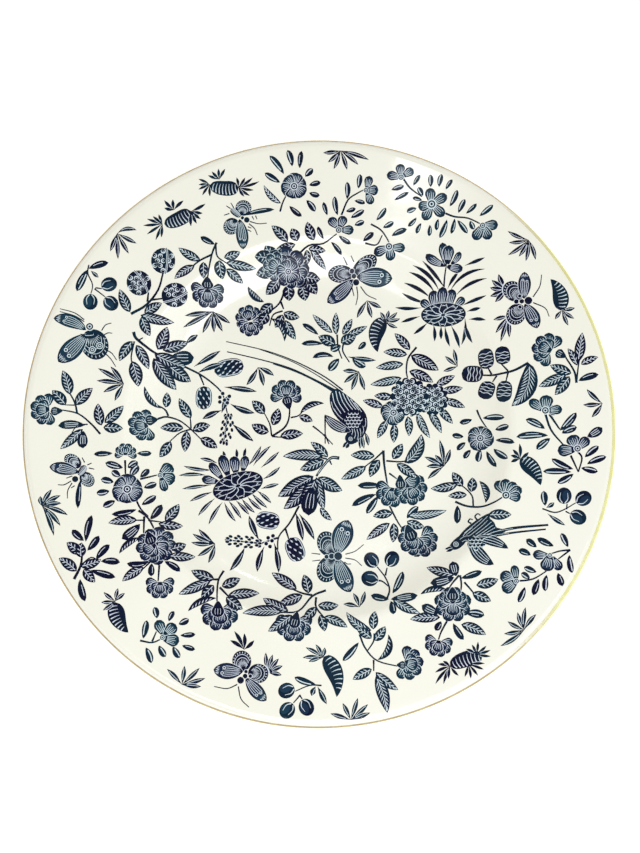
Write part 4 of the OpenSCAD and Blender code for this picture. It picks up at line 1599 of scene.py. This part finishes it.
# The sky's brightness goes from its sides' to its top's between two heights of a unit
# direction, and leans by a share towards its bright side.
SKY_SIDES = 0.71
SKY_OVERHEAD = 0.17
SKY_DIMS_FROM = 0.80
SKY_DIMS_TO = 0.93
SKY_LEAN = 0.35
SKY_BRIGHT_SIDE = (0.8, -0.6, 0)
SKY_WARM = (1.0, 0.945, 0.80)
SKY_COOL = (0.97, 0.985, 0.93)

GROUND_HALF = 3.0
GROUND_WHITE = 0.9
GROUND_GLOW = 0.45
GROUND_DROP = 0.0001
KEY_PLACE = (0.06, -0.24, 0.66)
KEY_SIZE = 0.42
KEY_POWER = 2.75
KEY_COLOUR = (0.97, 1.0, 1.03)
GLINT_PLACE = (0.040, 0.167, 0.37)
GLINT_SIZE = 0.02
GLINT_POWER = 0.016
GLINT_COLOUR = (1.0, 1.0, 1.0)


def make_camera():
    """A normal lens that looks almost straight down, turned a little to the right."""
    data = bpy.data.cameras.new("camera")
    data.lens = LENS_MM
    data.sensor_width = SENSOR_MM
    camera = bpy.data.objects.new("camera", data)
    away = Vector((math.sin(CAMERA_TILT) * math.sin(CAMERA_TURN),
                   -math.sin(CAMERA_TILT) * math.cos(CAMERA_TURN), math.cos(CAMERA_TILT)))
    right = Vector((0, 1, 0)).cross(away).normalized()
    frame_up = away.cross(right)
    camera.matrix_world = Matrix.Translation(CAMERA_AIM + away * CAMERA_REACH) @ Matrix(
        (right, frame_up, away)).transposed().to_4x4()
    bpy.context.scene.collection.objects.link(camera)
    bpy.context.scene.camera = camera


def make_sky():
    """A room that is bright all round and dimmer overhead, where the flat glaze mirrors it."""
    world = bpy.data.worlds.new("sky")
    world.use_nodes = True
    place = node(world, "TexCoord", "Generated")
    height = node(world, "SeparateXYZ", "Z", {"Vector": place})
    overhead = spread(world, height, SKY_DIMS_FROM, SKY_DIMS_TO, SKY_SIDES, SKY_OVERHEAD,
                      interpolation_type="SMOOTHSTEP")
    across_room = {0: place, 1: SKY_BRIGHT_SIDE}
    aside = node(world, "VectorMath", "Value", across_room, operation="DOT_PRODUCT")
    lean = spread(world, aside, -1, 1, 1 - SKY_LEAN, 1 + SKY_LEAN)
    strength = node(world, "Math", "Value", {0: lean, 1: overhead}, operation="MULTIPLY")
    tint = mixed(world, spread(world, aside, -1, 1), SKY_WARM, SKY_COOL)
    background = world.node_tree.nodes["Background"]
    world.node_tree.links.new(tint, background.inputs["Color"])
    world.node_tree.links.new(strength, background.inputs["Strength"])
    bpy.context.scene.world = world
    bpy.context.scene.view_settings.view_transform = "Standard"


def softbox(name, place, size, power, colour):
    """A square soft light that faces the plate."""
    data = bpy.data.lights.new(name, "AREA")
    data.size = size
    data.energy = power
    data.color = colour
    light = bpy.data.objects.new(name, data)
    light.location = place
    light.rotation_euler = Vector(place).to_track_quat("Z", "Y").to_euler()
    bpy.context.scene.collection.objects.link(light)


def make_studio():
    """A white floor that lights itself a little, an even sky and soft lights."""
    half = GROUND_HALF
    mesh = bpy.data.meshes.new("floor")
    corners = [(-half, -half, 0), (half, -half, 0), (half, half, 0), (-half, half, 0)]
    mesh.from_pydata(corners, [], [(0, 1, 2, 3)])
    white = (GROUND_WHITE, GROUND_WHITE, GROUND_WHITE, 1)
    material, _ = new_material("white_floor", Roughness=0.9, Base_Color=white,
                               Emission_Color=(1, 1, 1, 1), Emission_Strength=GROUND_GLOW)
    mesh.materials.append(material)
    floor = bpy.data.objects.new("floor", mesh)
    floor.location.z = -GROUND_DROP
    bpy.context.scene.collection.objects.link(floor)
    make_sky()
    softbox("key", KEY_PLACE, KEY_SIZE, KEY_POWER, KEY_COLOUR)
    softbox("glint", GLINT_PLACE, GLINT_SIZE, GLINT_POWER, GLINT_COLOUR)


# ---------------------------------------------------------------- the model
make_camera()
glaze = glaze_material()
turned("platter_china", china_section(), bare_china_material(), "bare_china", "china_body")
turned("platter_glaze", glaze_section(), glaze, "glaze", "glaze_coat")
turned("platter_glaze_under", under_glaze_section(), glaze, "glaze", "glaze_under_well")
turned("platter_gilding", gilt_section(), gilt_material(), "gilding", "gilt_edge")

inks = [
    ink_material("cobalt_dark", (0.0022, 0.004, 0.026), (0.0026, 0.022, 0.046)),
    ink_material("cobalt_mid", (0.009, 0.022, 0.066), (0.009, 0.050, 0.084)),
    ink_material("cobalt_pale", (0.70, 0.76, 0.88), (0.68, 0.82, 0.88)),
]
for name, rows in MOTIFS.items():
    marks = []
    for tool, size, *places in rows:
        tool(marks, size, *places)
    print_piece("print_" + name, marks, inks)

make_studio()
